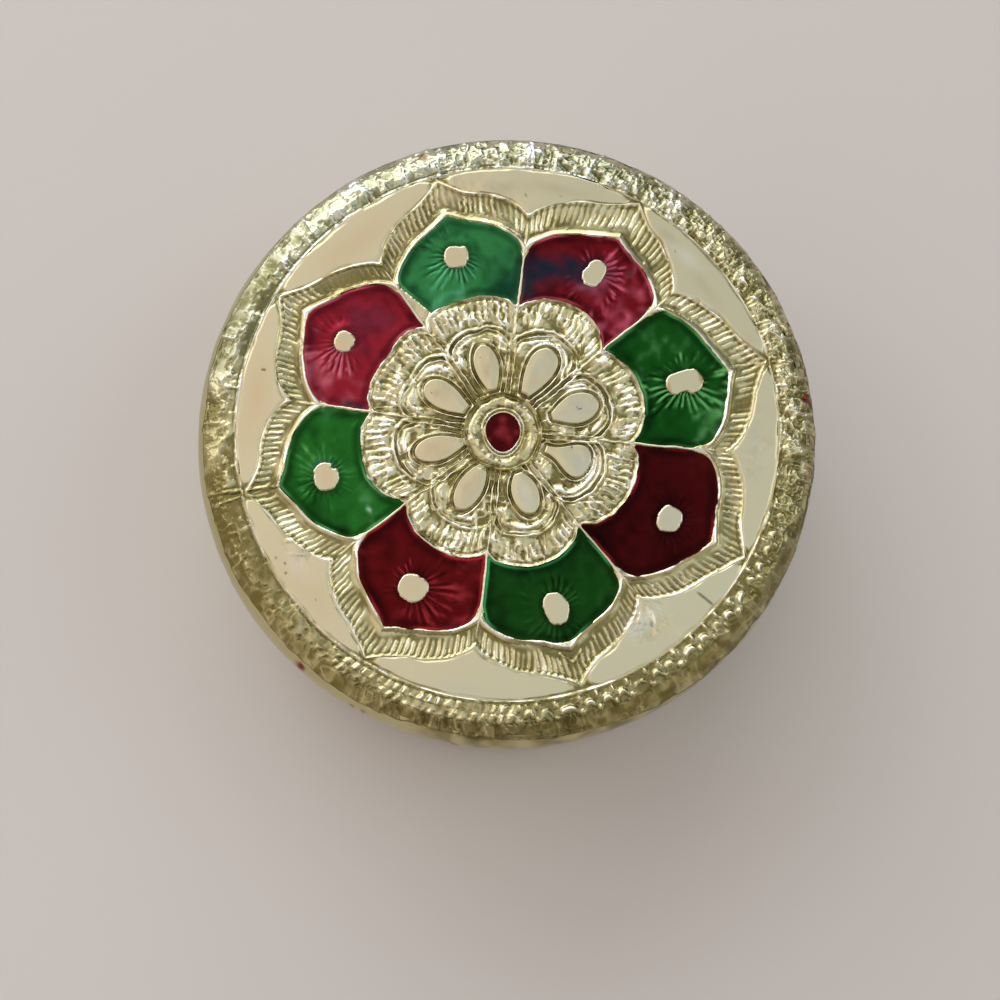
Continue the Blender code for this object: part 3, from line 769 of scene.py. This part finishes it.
def band_relief(radius, angle, u, x, y):
    across, out, from_border = even_place(radius, u)
    from_cell = distance_to(across, out, CELL_EDGE)
    from_band = distance_to(across, out, BAND_EDGE)
    share = from_cell / (from_cell + from_band + 1e-6)
    channel = np.sin(math.pi * np.clip(share, 0, 1)) ** 0.6
    raised, longer = ticks(angle, BAND_TICKS, x, y, 27)
    start = 0.34 + 0.10 * longer
    raised = raised * smooth(start - 0.08, start + 0.08, share) * smooth(1.0, 0.92, share)
    worn = 1 - 0.95 * crest(distance_from(x, y, *WORN_BAND[:2]), WORN_BAND[2])
    raised = raised * worn * smooth(0.1, 0.5, from_border)
    floor = blend(LINE_TOP, BAND_FLOOR, channel) + 0.08 * facets(x, y, 1.4, 37)
    # Painted shade down the channel between the ticks, painted light and shade on crumples, and painted
    # highlights on the ticks
    margin = smooth(0.34, 0.10, share)
    shade = blend(0.15, 0.70, margin) + 0.22 * noise(x, y, 2.2, 38) + 0.22 * facets(x, y, 1.1, 36)
    shade = shade - 0.30 * (1 - worn)
    parts = (floor + TICK_HEIGHT * raised, shade + 1.05 * raised, 0.9 + 0 * radius)
    parts = ridge(parts, from_cell, 0.17, x, y, LINE_TOP, 0.3)
    parts = ridge(parts, from_band, 0.13, x, y, LINE_TOP, 0.1)
    return laid(parts, crest(from_border, 0.13) * smooth(0.9, 0.2, share), 0.0, 1.1)


def plateau_relief(radius, angle, u, x, y):
    """Smooth foil with rounded corners between the petals and the ring, and crumpled foil round it."""
    across, out, _ = even_place(radius, u)
    from_band = distance_to(across, out, BAND_EDGE)
    uneven = 0.14 * noise(x, y, 2.2, 26) + 0.05 * noise(x, y, 0.7, 25)
    inside = rounded(from_band, RING - radius, PLATEAU_CORNER) + uneven
    # Round the smooth foil, crumpled foil with painted light and shade on its crumples
    parts = (-0.10 + 0.10 * facets(x, y, 1.3, 22), 0.42 + 0.35 * facets(x, y, 1.0, 23), 1 + 0 * radius)
    parts = ridge(parts, from_band, 0.13, x, y, LINE_TOP, 0.1)
    parts = ridge(parts, radius - RING, 0.12, x, y, LINE_TOP, 0.1)
    flat = smooth(0.10, 0.34, inside)
    top = SMOOTH_TOP - 0.03 + 0.02 * noise(x, y, 4.5, 28)
    shade = 1 + 0.05 * noise(x, y, 3.0, 29) + 0.03 * noise(x, y, 0.4, 24)
    return laid(parts, flat, top, shade, 0.06)


def marked(parts, x, y):
    """The crumples and creases of use over the relief, the crumples with painted light and shade and each
    crease with a painted highlight and painted shade beside it.
    """
    height, shade, crinkle = parts
    for degrees, radius, reach, rise in CRUMPLES:
        near = crest(distance_from(x, y, degrees, radius) / reach, 0.75)
        folds = 0.3 * creases(x, y, 1.7, 39) + 0.6 * facets(x, y, 2.1, 58)
        height = height + rise * near * (folds - 0.10)
        shade = shade + near * (folds - 0.15) * min(1.0, 2 * rise)
        crinkle = np.maximum(crinkle, near * min(0.6, 2 * rise))
    for start_degrees, start_radius, end_degrees, end_radius, rise in CREASES:
        away = distance_to(x, y, (polar(start_degrees, start_radius), polar(end_degrees, end_radius)))
        away = away + 0.12 * noise(x, y, 0.9, 40)
        height = height + rise * crest(away, 0.16) - 0.4 * rise * crest(away, 0.45)
        shade = shade + 0.5 * crest(away, 0.18) - 0.35 * crest(away, 0.5)
    return height, shade, crinkle


def patched(colours, x, y, colour_patches, soft=False):
    """Colours with patches laid on them, stains and painted reflections alike, which have soft edges if
    they are cloudy patches.
    """
    for degrees, radius, half_width, half_length, colour, strength in colour_patches:
        out, across = out_and_across(x, y, degrees)
        uneven = 0.25 * noise(x, y, 0.5 * max(half_width, half_length) + 0.1, 49)
        size = np.hypot(across / half_width, (out - radius) / half_length) + uneven
        share = strength * (crest(size, 0.85) if soft else smooth(1.25, 0.75, size))
        colours = tinged(colours, colour, share)
    return colours


def foil_colours(shade, x, y, seed):
    """Olive as painted shade in the hollows, gold where crumpled, pale on smooth foil and near white as
    painted highlights on raised lines.
    """
    shade = shade + 0.05 * noise(x, y, 6.0, seed) + 0.04 * noise(x, y, 1.1, seed + 1)
    colours = np.array(OLIVE) + 0 * shade[..., None]
    for colour, start, end in ((GOLD, 0.05, 0.60), (PALE_GOLD, 0.60, 1.0), (BRIGHT, 1.05, 1.4)):
        colours = tinged(colours, colour, smooth(start, end, shade))
    return colours


# The shoulder, and the crumpled rim that folds over it

def on_shoulder(x, y, raised):
    """Places on the outside of the lid, raised along its normal. Here x and y are from the lid's middle."""
    away = np.hypot(x, y)
    angle = np.arcsin(np.clip((away - FLAT_RADIUS) / SHOULDER_RADIUS, 0, 1))
    outward = raised * np.sin(angle) / np.maximum(away, 1e-6)
    height = BOX_HEIGHT - SHOULDER_RADIUS * (1 - np.cos(angle)) + raised * np.cos(angle)
    return np.stack([x * (1 + outward), y * (1 + outward), height], axis=-1)


def around(angle, middle, full, none):
    """1 within some degrees of a direction, falling to nothing further round."""
    away = np.abs(np.mod(angle - math.radians(middle) + math.pi, TAU) - math.pi)
    return 1 - smooth(full, none, np.degrees(away))


def fold_radius(angle):
    """How far from the lid's middle the sheet's torn edge is."""
    strip = 0.40 + 0.75 * around(angle, 200, 45, 85) + 0.50 * around(angle, 272, 10, 30)
    strip = strip - 0.15 * around(angle, 95, 10, 40)
    along = angle * OUTER_RADIUS
    torn = 0.16 * noise(along, along * 0, 2.6, 41) + 0.08 * noise(along, along * 0, 0.7, 42)
    return OUTER_RADIUS - strip + torn


def punched_border(out, angle, along):
    """Bowls, with drops below and dots above the gaps between them, as hand punches leave them, 0 to 1."""
    pitch = TAU * (RING + 1.5) / RIM_SCALES
    phase = angle * RIM_SCALES / TAU + 0.22 * noise(along, out * 0, 3.0, 43)
    out = out + 0.18 * noise(along, out * 0, 1.7, 44)
    at_scale = (np.mod(phase, 1) - 0.5) * pitch
    at_drop = (np.mod(phase + 0.5, 1) - 0.5) * pitch
    curve = 1.38 + 0.35 * (at_scale / 0.65) ** 2
    bowl = crest(out - curve, 0.29) * smooth(0.74, 0.50, np.abs(at_scale))
    drop = np.exp(-((at_drop / 0.25) ** 2) - ((out - 0.68) / 0.42) ** 2)
    dot = np.exp(-((at_drop / 0.27) ** 2) - ((out - 2.25) / 0.27) ** 2)
    uneven = np.clip(1.0 + 0.8 * noise(along, out * 0, 1.9, 45), 0.2, 1.2)
    return np.clip(1.05 * bowl + drop + 0.8 * dot, 0, 1.1) * uneven


def grains(out, angle, along):
    """Two rows of slanting grains, as another punch leaves them, 0 to 1."""
    rows = 0 * out
    for start, end, seed in ((0.35, 1.35, 59), (1.50, 2.50, 67)):
        row = ticks(angle + 0.012 * out, RIM_GRAINS, along, out, seed)[0]
        row = row * np.clip(0.75 + 1.1 * noise(along, out, 1.5, seed + 5), 0.1, 1.25)
        rows = rows + row * smooth(start - 0.1, start + 0.15, out) * smooth(end + 0.1, end - 0.15, out)
    return rows


def rim_relief(out, angle):
    """The rim outwards of the ring: a punched border, crushed flat or crumpled in most places."""
    along = angle * (RING + 1.5)
    crisp, grainy, calm, broad = (around(angle, *stretch) for stretch in (CRISP, GRAINY, CALM, BROAD))
    outside = smooth(2.7, 3.1, out) * crisp
    loose = (1 - 0.80 * crisp) * (1 - 0.75 * calm) * (1 - 0.80 * grainy)

    faces = blend(facets(along, out, 1.1, 46), 0.8 * facets(along, out, 2.4, 47), broad)
    finer = (creases(along, out, 0.8, 57) - 0.5) * (1 - 0.6 * broad)
    web = blend(wrinkles(along, out * 0.8, 0.9, 48), wrinkles(along * 0.9, out * 0.6, 1.9, 50), broad)
    pleats = wrinkles(along, out * 0.22, 0.9, 52) * around(angle, *PLEATED)
    folds = np.clip(web + 0.8 * pleats, 0, 1.1)
    punched = punched_border(out, angle, along) * np.maximum(crisp, 0.25 * (1 - calm))
    punched = blend(punched, grains(out, angle, along), grainy)
    height = PUNCH_HEIGHT * punched + loose * (0.26 * faces + 0.16 * finer + 0.20 * folds) - 0.10
    height = height + (0.05 - 0.03 * outside) * finer
    crumpled = 0.75 * folds + 0.50 * faces + 0.50 * finer
    # Darker where crisp; painted shade at the left, painted light at the top and on the outer shoulder,
    # painted highlights on the punched scales and painted light and shade on the crumples
    shade = 0.26 - 0.12 * crisp - 0.12 * around(angle, *SHADED_LEFT) + 0.16 * around(angle, *LIT_TOP)
    shade = shade + 1.05 * punched + (0.15 + 0.85 * loose) * crumpled
    shade = shade + 0.14 * outside + 0.12 * noise(along, out, 0.8, 54)
    return ridge((height, shade, 1 - 0.5 * outside), out, 0.11, along, out, LINE_TOP, 0.0)


# Meshes

def surface(name, points, colours, crinkle, look, node, wrap=True):
    """A mesh over rings of points, with a tint and a crinkle at each, in the place of one of the solids."""
    rings, spokes = points.shape[:2]
    index = np.arange(rings * spokes).reshape(rings, spokes)
    if wrap:
        index = np.column_stack([index, index[:, 0]])
    quads = np.stack([index[:-1, :-1], index[1:, :-1], index[1:, 1:], index[:-1, 1:]], -1)
    mesh = bpy.data.meshes.new(name)
    mesh.from_pydata((points.reshape(-1, 3) * MM).tolist(), [], quads.reshape(-1, 4).tolist())
    tint = mesh.color_attributes.new("tint", "FLOAT_COLOR", "POINT")
    colours = np.clip(colours, 0, 1)
    tint.data.foreach_set("color", np.concatenate([colours, np.ones((rings, spokes, 1))], -1).ravel())
    rough = mesh.attributes.new("crinkle", "FLOAT", "POINT")
    rough.data.foreach_set("value", np.broadcast_to(crinkle, (rings, spokes)).ravel())
    mesh.shade_smooth()
    mesh.materials.append(look)
    made = bpy.data.objects.new(name, mesh)
    bpy.context.scene.collection.objects.link(made)
    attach(made, "root")
    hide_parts(node)


def on_lid(x, y, height):
    return on_shoulder(x + LOTUS_AT[0], y + LOTUS_AT[1], height)


def spokes_and_rings(spokes, rings):
    angle = np.linspace(0, TAU, spokes, endpoint=False)[None, :]
    share = np.linspace(0, 1, rings)[:, None]
    return angle, share


def lotus_zone(name, relief, inner, outer, spokes, rings, gold):
    """Part of the sheet between two curves round the middle of the lotus."""
    angle, share = spokes_and_rings(spokes, rings)
    _, u = petal_of(angle)
    radius = blend(inner(u), outer(u), share)
    angle = np.broadcast_to(angle, radius.shape)
    u = np.broadcast_to(u, radius.shape)
    x, y = pressed(radius, angle)
    height, shade, crinkle = marked(relief(radius, angle, u, x, y), x, y)
    # Painted reflections of the room laid on the foil, then its stains
    colours = patched(foil_colours(shade, x, y, 51), x, y, CLOUDS_AND_REFLECTIONS, soft=True)
    colours = patched(colours, x, y, STAINS)
    surface(name, on_lid(x, y, height), colours, crinkle, gold, "lid_foil_sheet")


def rim(gold):
    angle, share = spokes_and_rings(1800, 46)
    start_x, start_y = pressed(np.full(angle.shape, RING), angle)
    start_x, start_y = start_x + LOTUS_AT[0], start_y + LOTUS_AT[1]
    toward = np.arctan2(start_y, start_x)
    edge = fold_radius(toward)
    x = blend(start_x, edge * np.cos(toward), share)
    y = blend(start_y, edge * np.sin(toward), share)
    out = np.hypot(x - start_x, y - start_y)
    about_lotus = (x - LOTUS_AT[0], y - LOTUS_AT[1])
    height, shade, crinkle = marked(rim_relief(out, angle), *about_lotus)
    height = height * smooth(1.0, 0.93, share) + 0.05
    height[-1] -= TORN_DROP
    torn = np.clip(0.6 + 0.8 * noise(angle * OUTER_RADIUS, 0 * angle, 1.5, 56), 0, 1)
    shade = shade - 0.7 * smooth(0.955, 0.985, share) * torn
    colours = foil_colours(shade, x, y, 53)
    # A painted silver sheen at the upper left of the rim
    colours = colours * blend(1.0, np.array(SHEEN_TINT), around(angle, *SHEEN_STRETCH)[..., None])
    colours = patched(colours, *about_lotus, STAINS)
    surface("foil_rim", on_shoulder(x, y, height), colours, crinkle, gold, "lid_foil_sheet")


def pressed_rays(x, y, from_boss, number):
    """Rays round a petal's gold dot, and how far each place is on their brighter side, 0 to 1."""
    middle = polar(*BOSSES[number][:2])
    ray_angle = np.arctan2(y - middle[1], x - middle[0])
    wander = 1.6 * noise(x, y, 1.4, 71) + 0.8 * noise(x, y, 0.6, 72)
    toward = 0.5 + 0.5 * np.cos(ray_angle - math.radians(LIT_SIDES[number]))
    fade = smooth(1.7 + 2.3 * toward, 0.5, from_boss + 0.9 * noise(x, y, 1.2, 73))
    rays = (np.cos(ray_angle * 23 + wander) + 0.5 * np.cos(ray_angle * 37 - 1.3 * wander)) * fade
    rays = rays * np.clip(0.40 + 1.1 * noise(x, y, 2.0, 70 + number) + 0.3 * toward, 0, 1)
    return rays * RAY_STRENGTHS[number], toward


def enamel_colours(x, y, number, lit, from_edge, from_boss):
    """Deep colour, with paler streaks where it is lit, a glow along its edge and its stains."""
    # Painted shade: darker just inside the edge, round the gold dot and where the enamel is least lit
    dark = 1 - 0.50 * crest(from_edge - 0.55, 0.5) - 0.45 * crest(from_boss - 0.2, 0.30)
    deep = np.array(ENAMELS[number]) * (dark * np.clip(1 + 1.3 * np.minimum(lit, 0), 0.3, 1))[..., None]
    colours = tinged(deep, STREAKS[number], smooth(0.05, 0.75, lit))
    glow = crest(from_edge - 0.10, 0.12) * np.clip(0.15 + 1.1 * noise(x, y, 3.0, 92), 0, 1)
    colours = tinged(colours, EDGE_GLOW[number], glow)
    colours = patched(colours, x, y, ENAMEL_STAINS, soft=True)
    sheen = np.clip(lit, 0, 1) * crest(np.hypot(x - SHEEN_AT[0], y - SHEEN_AT[1]) / SHEEN_REACH, 0.8)
    return tinged(colours, SLATE, sheen)


def enamel_petal(name, number, look):
    """Enamel pooled in one cell, pulled up at its edges and pressed in rays round the gold dot."""
    u = np.linspace(-0.995, 0.995, 130)[None, :]
    share = np.linspace(0, 1, 74)[:, None]
    before = TIPS[number] - (BORDERS[number - 1] - (TAU if number == 0 else 0))
    after = BORDERS[number] - TIPS[number]
    radius = blend(lobe_radius(u), cell_radius(u), share)
    angle = np.broadcast_to(TIPS[number] + u * np.where(u > 0, after, before), radius.shape)
    across, out, from_border = even_place(radius, u)
    x, y = pressed(radius, angle)
    sides = (distance_to(across, out, CELL_EDGE), distance_to(across, out, SCALLOP))
    from_edge = inside_cell(*sides, from_border, CELL_TIP - TIP_CUT[number] - out, x, y) - 0.2
    from_boss = boss_distance(x, y, number)
    rays, toward = pressed_rays(x, y, from_boss, number)
    folds = facets(x, y, 2.6, 75 + number)
    height = ENAMEL_LEVEL - 0.12 * smooth(0.2, 1.6, np.minimum(from_edge, from_boss))
    height = height + 0.06 * noise(x, y, 3.2, 61 + number) + 0.05 * folds
    height = height + 0.055 * rays * smooth(-0.1, 0.3, from_boss)

    lit = 0.20 * noise(x, y, 4.0, 81 + number) + 0.30 * folds + 0.14 * noise(x, y, 1.2, 91) + 0.60 * rays
    lit = lit + 0.26 * (toward - 0.50) + 0.26 * facets(x, y, 0.9, 93 + number)
    colours = enamel_colours(x, y, number, lit, from_edge, from_boss)
    surface(f"enamel_{name}", on_lid(x, y, height), colours, 1.0, look, name, wrap=False)


def enamel_centre(look):
    angle, share = spokes_and_rings(96, 24)
    radius = 0.02 + (DOT_LINE - 0.1) * share + 0 * angle
    angle = np.broadcast_to(angle, radius.shape)
    x, y = pressed(radius, angle)
    x = x * (EGG_WIDTH + EGG_LEAN * y)
    height = -0.30 + 0.10 * share**2 + 0.05 * noise(x, y, 1.0, 65)
    lit = smooth(0.9, 0.0, np.hypot(x + 0.1, y - 0.1) / DOT_LINE + 0.35 * noise(x, y, 0.9, 66) + 0.15)
    colours = tinged(np.array(CENTRE_RED), CENTRE_STREAK, lit)
    surface("enamel_middle", on_lid(x, y, height), colours, 1.0, look, "enamel_centre")


# The strips round the sides

def strip(name, profile, relief, start, spokes, gold, node):
    """A foil strip spun round the side over (radius, height, lean) points, with its own relief."""
    angle = np.linspace(0, TAU, spokes, endpoint=False)[None, :]
    away, up, lean = (np.array(column)[:, None] for column in zip(*profile))
    along = np.mod(angle - start, TAU) * OUTER_RADIUS + 0 * up
    up = up + 0 * angle
    height, shade = relief(along, up, angle)
    reach = away + height * np.cos(lean)
    points = np.stack([reach * np.cos(angle), reach * np.sin(angle), up + height * np.sin(lean)], -1)
    colours = foil_colours(shade, along, up, 55)
    marks = patched(colours, points[..., 0] - LOTUS_AT[0], points[..., 1] - LOTUS_AT[1], SIDE_STAINS)
    colours = blend(colours, marks, smooth(*MARKED_FROM, up)[..., None])
    surface(name, points, colours, 0.45, gold, node)


def lap(angle, start, width):
    """How much a strip's end lies over its start, 0 to 1."""
    turned = np.mod(angle - start, TAU)
    return smooth(0, 0.01, turned) - smooth(width, width + 0.04, turned)


def lid_side_relief(along, up, angle):
    dents = 0.05 * noise(along, up * 0.5, 3.0, 101) + 0.06 * facets(along * 0.7, up, 2.6, 103)
    dents = dents + 0.05 * wrinkles(along, up * 0.45, 1.8, 107)
    line = crest(up - LID_LINE, LINE_WIDTH)
    height = dents + 0.10 * lap(angle, *LID_LAP) + 0.07 * line - 0.16
    # Painted shade at the lower right near the top of the strip, painted light where the dents rise and a
    # painted highlight on the line
    painted_shade = (0.30 + 0.15 * noise(along, up, 1.1, 105)) * around(angle, 315, 55, 75) * smooth(30.0, 33.5, up)
    return height, 0.60 + 3 * dents + 0.4 * line - painted_shade


def base_side_relief(along, up, angle):
    dents = 0.05 * noise(along, up * 0.5, 3.6, 111) + 0.06 * facets(along * 0.7, up, 3.0, 113)
    dents = dents + 0.05 * wrinkles(along, up * 0.45, 2.0, 117)
    lines = sum(crest(up - line, LINE_WIDTH) for line in BASE_LINES)
    borders = 0 * up
    for low, high in (BASE_LINES[:2], BASE_LINES[2:]):
        borders = borders + smooth(low + 0.2, low + 0.6, up) * smooth(high - 0.2, high - 0.6, up)
    rows = borders * ticks(angle, SIDE_TICKS, along, up, 115)[0]
    height = dents + 0.08 * lines + 0.10 * rows + 0.10 * lap(angle, *BASE_LAP) - 0.2
    # Painted light where the dents rise, painted highlights on the ticks and lines, and painted shade in
    # the ticked borders
    shade = 0.62 + 3 * dents - 0.5 * borders + 0.7 * rows + 0.3 * lines
    return height, shade


def lid_side(gold):
    profile = []
    for lean in np.radians(np.linspace(56, 0, 20)):
        away = FLAT_RADIUS + SHOULDER_RADIUS * math.cos(lean)
        profile.append((away, BOX_HEIGHT - SHOULDER_RADIUS * (1 - math.sin(lean)), lean))
    bottom, top = LID_STRIP
    profile += [(OUTER_RADIUS, up, 0.0) for up in np.linspace(top, bottom, 22)]
    profile.append((OUTER_RADIUS - TURNED_IN, bottom - TURN_HEIGHT, 0.0))
    strip("foil_lid_side", profile, lid_side_relief, LID_LAP[0], 480, gold, "lid_foil_band")


def base_side(gold):
    bottom, top = BASE_STRIP
    profile = [(OUTER_RADIUS - TURNED_IN, top + TURN_HEIGHT, 0.0)]
    profile += [(OUTER_RADIUS, up, 0.0) for up in np.linspace(top, bottom, 56)]
    profile.append((OUTER_RADIUS - TURNED_IN, bottom - TURN_HEIGHT, 0.0))
    strip("foil_base_side", profile, base_side_relief, BASE_LAP[0], 720, gold, "base_foil_band")


# Materials

def node(tree, kind, **inputs):
    made = tree.nodes.new(kind)
    for name, value in inputs.items():
        made.inputs[name.replace("_", " ")].default_value = value
    return made


def material(name, roughness):
    look = bpy.data.materials.new(name)
    look.use_nodes = True
    shader = look.node_tree.nodes["Principled BSDF"]
    shader.inputs["Roughness"].default_value = roughness
    return look, look.node_tree, shader


def tinted(name, roughness):
    """A metal whose colour comes from its mesh's tint."""
    look, tree, shader = material(name, roughness)
    shader.inputs["Metallic"].default_value = 1.0
    tint = tree.nodes.new("ShaderNodeVertexColor")
    tint.layer_name = "tint"
    tree.links.new(tint.outputs["Color"], shader.inputs["Base Color"])
    return look, tree, shader


def bumps(tree, layers, strength=None):
    """Chained bumps from noise: (scale in waves a metre, detail, height in metres) each."""
    place = tree.nodes.new("ShaderNodeTexCoord")
    last = None
    for scale, detail, height in layers:
        grain = node(tree, "ShaderNodeTexNoise", Scale=scale, Detail=detail, Roughness=0.55)
        tree.links.new(place.outputs["Object"], grain.inputs["Vector"])
        bump = node(tree, "ShaderNodeBump", Strength=1.0, Distance=height)
        tree.links.new(grain.outputs["Fac"], bump.inputs["Height"])
        if strength:
            tree.links.new(strength, bump.inputs["Strength"])
        if last:
            tree.links.new(last.outputs["Normal"], bump.inputs["Normal"])
        last = bump
    return last


def gold_foil():
    """Thin bright foil: satin where it is smooth, sharper and finely crinkled elsewhere."""
    look, tree, shader = tinted("gold_foil", 0.28)
    crinkle = tree.nodes.new("ShaderNodeAttribute")
    crinkle.attribute_name = "crinkle"
    layers = [(420, 3, 0.00022), (1500, 2, 0.00006)]
    bump = bumps(tree, layers, crinkle.outputs["Fac"])
    tree.links.new(bump.outputs["Normal"], shader.inputs["Normal"])
    rough = node(tree, "ShaderNodeMapRange", To_Min=0.27, To_Max=0.13)
    tree.links.new(crinkle.outputs["Fac"], rough.inputs["Value"])
    tree.links.new(rough.outputs["Result"], shader.inputs["Roughness"])
    return look


def enamel(name, glancing):
    """Clear colour over foil, which keeps its colour where it is seen at a glancing angle."""
    look, tree, shader = tinted(name, 0.30)
    shader.inputs["Specular Tint"].default_value = (*glancing, 1)
    bump = bumps(tree, [(180, 2, 0.00030), (800, 3, 0.00004)])
    tree.links.new(bump.outputs["Normal"], shader.inputs["Normal"])
    shader.inputs["Coat Weight"].default_value = 0.06
    shader.inputs["Coat Roughness"].default_value = 0.10
    return look


def wood():
    look, tree, shader = material("turned_wood", 0.65)
    place = tree.nodes.new("ShaderNodeTexCoord")
    stretch = tree.nodes.new("ShaderNodeMapping")
    stretch.inputs["Scale"].default_value = (60, 900, 900)
    grain = node(tree, "ShaderNodeTexNoise", Scale=1.0, Detail=6.0, Roughness=0.6, Distortion=0.4)
    ramp = tree.nodes.new("ShaderNodeValToRGB")
    ramp.color_ramp.elements[0].position = 0.3
    ramp.color_ramp.elements[0].color = (*DARK_WOOD, 1)
    ramp.color_ramp.elements[1].position = 0.7
    ramp.color_ramp.elements[1].color = (*PALE_WOOD, 1)
    bump = node(tree, "ShaderNodeBump", Strength=0.4, Distance=0.0001)
    tree.links.new(place.outputs["Object"], stretch.inputs["Vector"])
    tree.links.new(stretch.outputs["Vector"], grain.inputs["Vector"])
    tree.links.new(grain.outputs["Fac"], ramp.inputs["Fac"])
    tree.links.new(ramp.outputs["Color"], shader.inputs["Base Color"])
    tree.links.new(grain.outputs["Fac"], bump.inputs["Height"])
    tree.links.new(bump.outputs["Normal"], shader.inputs["Normal"])
    return look


# Stage, light and camera

def floor():
    mesh = bpy.data.meshes.new("floor")
    corners = [(x * FLOOR_REACH, y * FLOOR_REACH, 0) for x, y in ((-1, -1), (1, -1), (1, 1), (-1, 1))]
    mesh.from_pydata(corners, [], [(0, 1, 2, 3)])
    look, _, shader = material("floor", 0.7)
    shader.inputs["Base Color"].default_value = (*FLOOR_COLOUR, 1)
    mesh.materials.append(look)
    made = bpy.data.objects.new("floor", mesh)
    bpy.context.scene.collection.objects.link(made)


def aim(made, target):
    direction = made.location - target
    made.rotation_euler = direction.to_track_quat("Z", "Y").to_euler()


def lamp(name, place, size, power, colour):
    data = bpy.data.lights.new(name, "AREA")
    data.shape = "RECTANGLE"
    data.size, data.size_y = size
    data.energy = power
    data.color = colour
    made = bpy.data.objects.new(name, data)
    made.location = place
    bpy.context.scene.collection.objects.link(made)
    aim(made, Vector((0, 0, BOX_HEIGHT * MM)))


def world_layer(tree, direction, below, toward, start, end, colour):
    """Light laid over the room so far, in a soft patch round a direction."""
    dot = tree.nodes.new("ShaderNodeVectorMath")
    dot.operation = "DOT_PRODUCT"
    dot.inputs[1].default_value = Vector(toward).normalized()
    share = node(tree, "ShaderNodeMapRange", From_Min=start, From_Max=end)
    share.interpolation_type = "SMOOTHSTEP"
    mix = tree.nodes.new("ShaderNodeMixRGB")
    mix.inputs["Color2"].default_value = (*colour, 1)
    tree.links.new(direction, dot.inputs[0])
    tree.links.new(dot.outputs["Value"], share.inputs["Value"])
    tree.links.new(share.outputs["Result"], mix.inputs["Fac"])
    tree.links.new(below, mix.inputs["Color1"])
    return mix.outputs["Color"]


def room():
    """A plain room, dark low in front, with windows behind and on the right and a pale ceiling."""
    world = bpy.data.worlds.new("room")
    bpy.context.scene.world = world
    world.use_nodes = True
    tree = world.node_tree
    place = tree.nodes.new("ShaderNodeTexCoord").outputs["Generated"]
    dark = tree.nodes.new("ShaderNodeRGB")
    dark.outputs[0].default_value = (*DARK_SIDE, 1)
    light = dark.outputs[0]
    for toward, start, end, colour in ROOM_LIGHTS:
        light = world_layer(tree, place, light, toward, start, end, colour)
    tree.links.new(light, tree.nodes["Background"].inputs["Color"])


def camera():
    target = Vector((*CAMERA_TARGET, BOX_HEIGHT)) * MM
    elevation = math.radians(CAMERA_ELEVATION)
    data = bpy.data.cameras.new("camera")
    data.lens = CAMERA_LENS
    data.clip_start = 0.01
    made = bpy.data.objects.new("camera", data)
    made.location = target + CAMERA_DISTANCE * MM * Vector((0, -math.cos(elevation), math.sin(elevation)))
    bpy.context.scene.collection.objects.link(made)
    aim(made, target)
    bpy.context.scene.camera = made


def main():
    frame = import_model()
    bpy.context.scene.view_settings.view_transform = "Standard"
    camera()
    floor()
    room()
    lamp(*WINDOW)

    gold = gold_foil()
    lotus_zone("foil_hub", hub_relief, level(0), hub_radius, 320, 48, gold)
    lotus_zone("foil_rosette", rosette_relief, hub_radius, lobe_radius, 960, 100, gold)
    lotus_zone("foil_cells", cell_relief, lobe_radius, cell_radius, 900, 60, gold)
    lotus_zone("foil_petal_bands", band_relief, cell_radius, band_radius, 1600, 44, gold)
    lotus_zone("foil_plateaus", plateau_relief, band_radius, ring_radius, 720, 30, gold)
    rim(gold)
    lid_side(gold)
    base_side(gold)
    looks = (enamel("green_enamel", GLANCING_GREEN), enamel("red_enamel", GLANCING_RED))
    for number in range(PETALS):
        colour = ("green", "red")[number % 2]
        enamel_petal(f"enamel_{colour}_{number // 2 + 1}", number, looks[number % 2])
    enamel_centre(looks[1])
    turned = wood()
    for name in ("base", "lid"):
        frame["nodes"][name].data.materials.clear()
        frame["nodes"][name].data.materials.append(turned)


main()
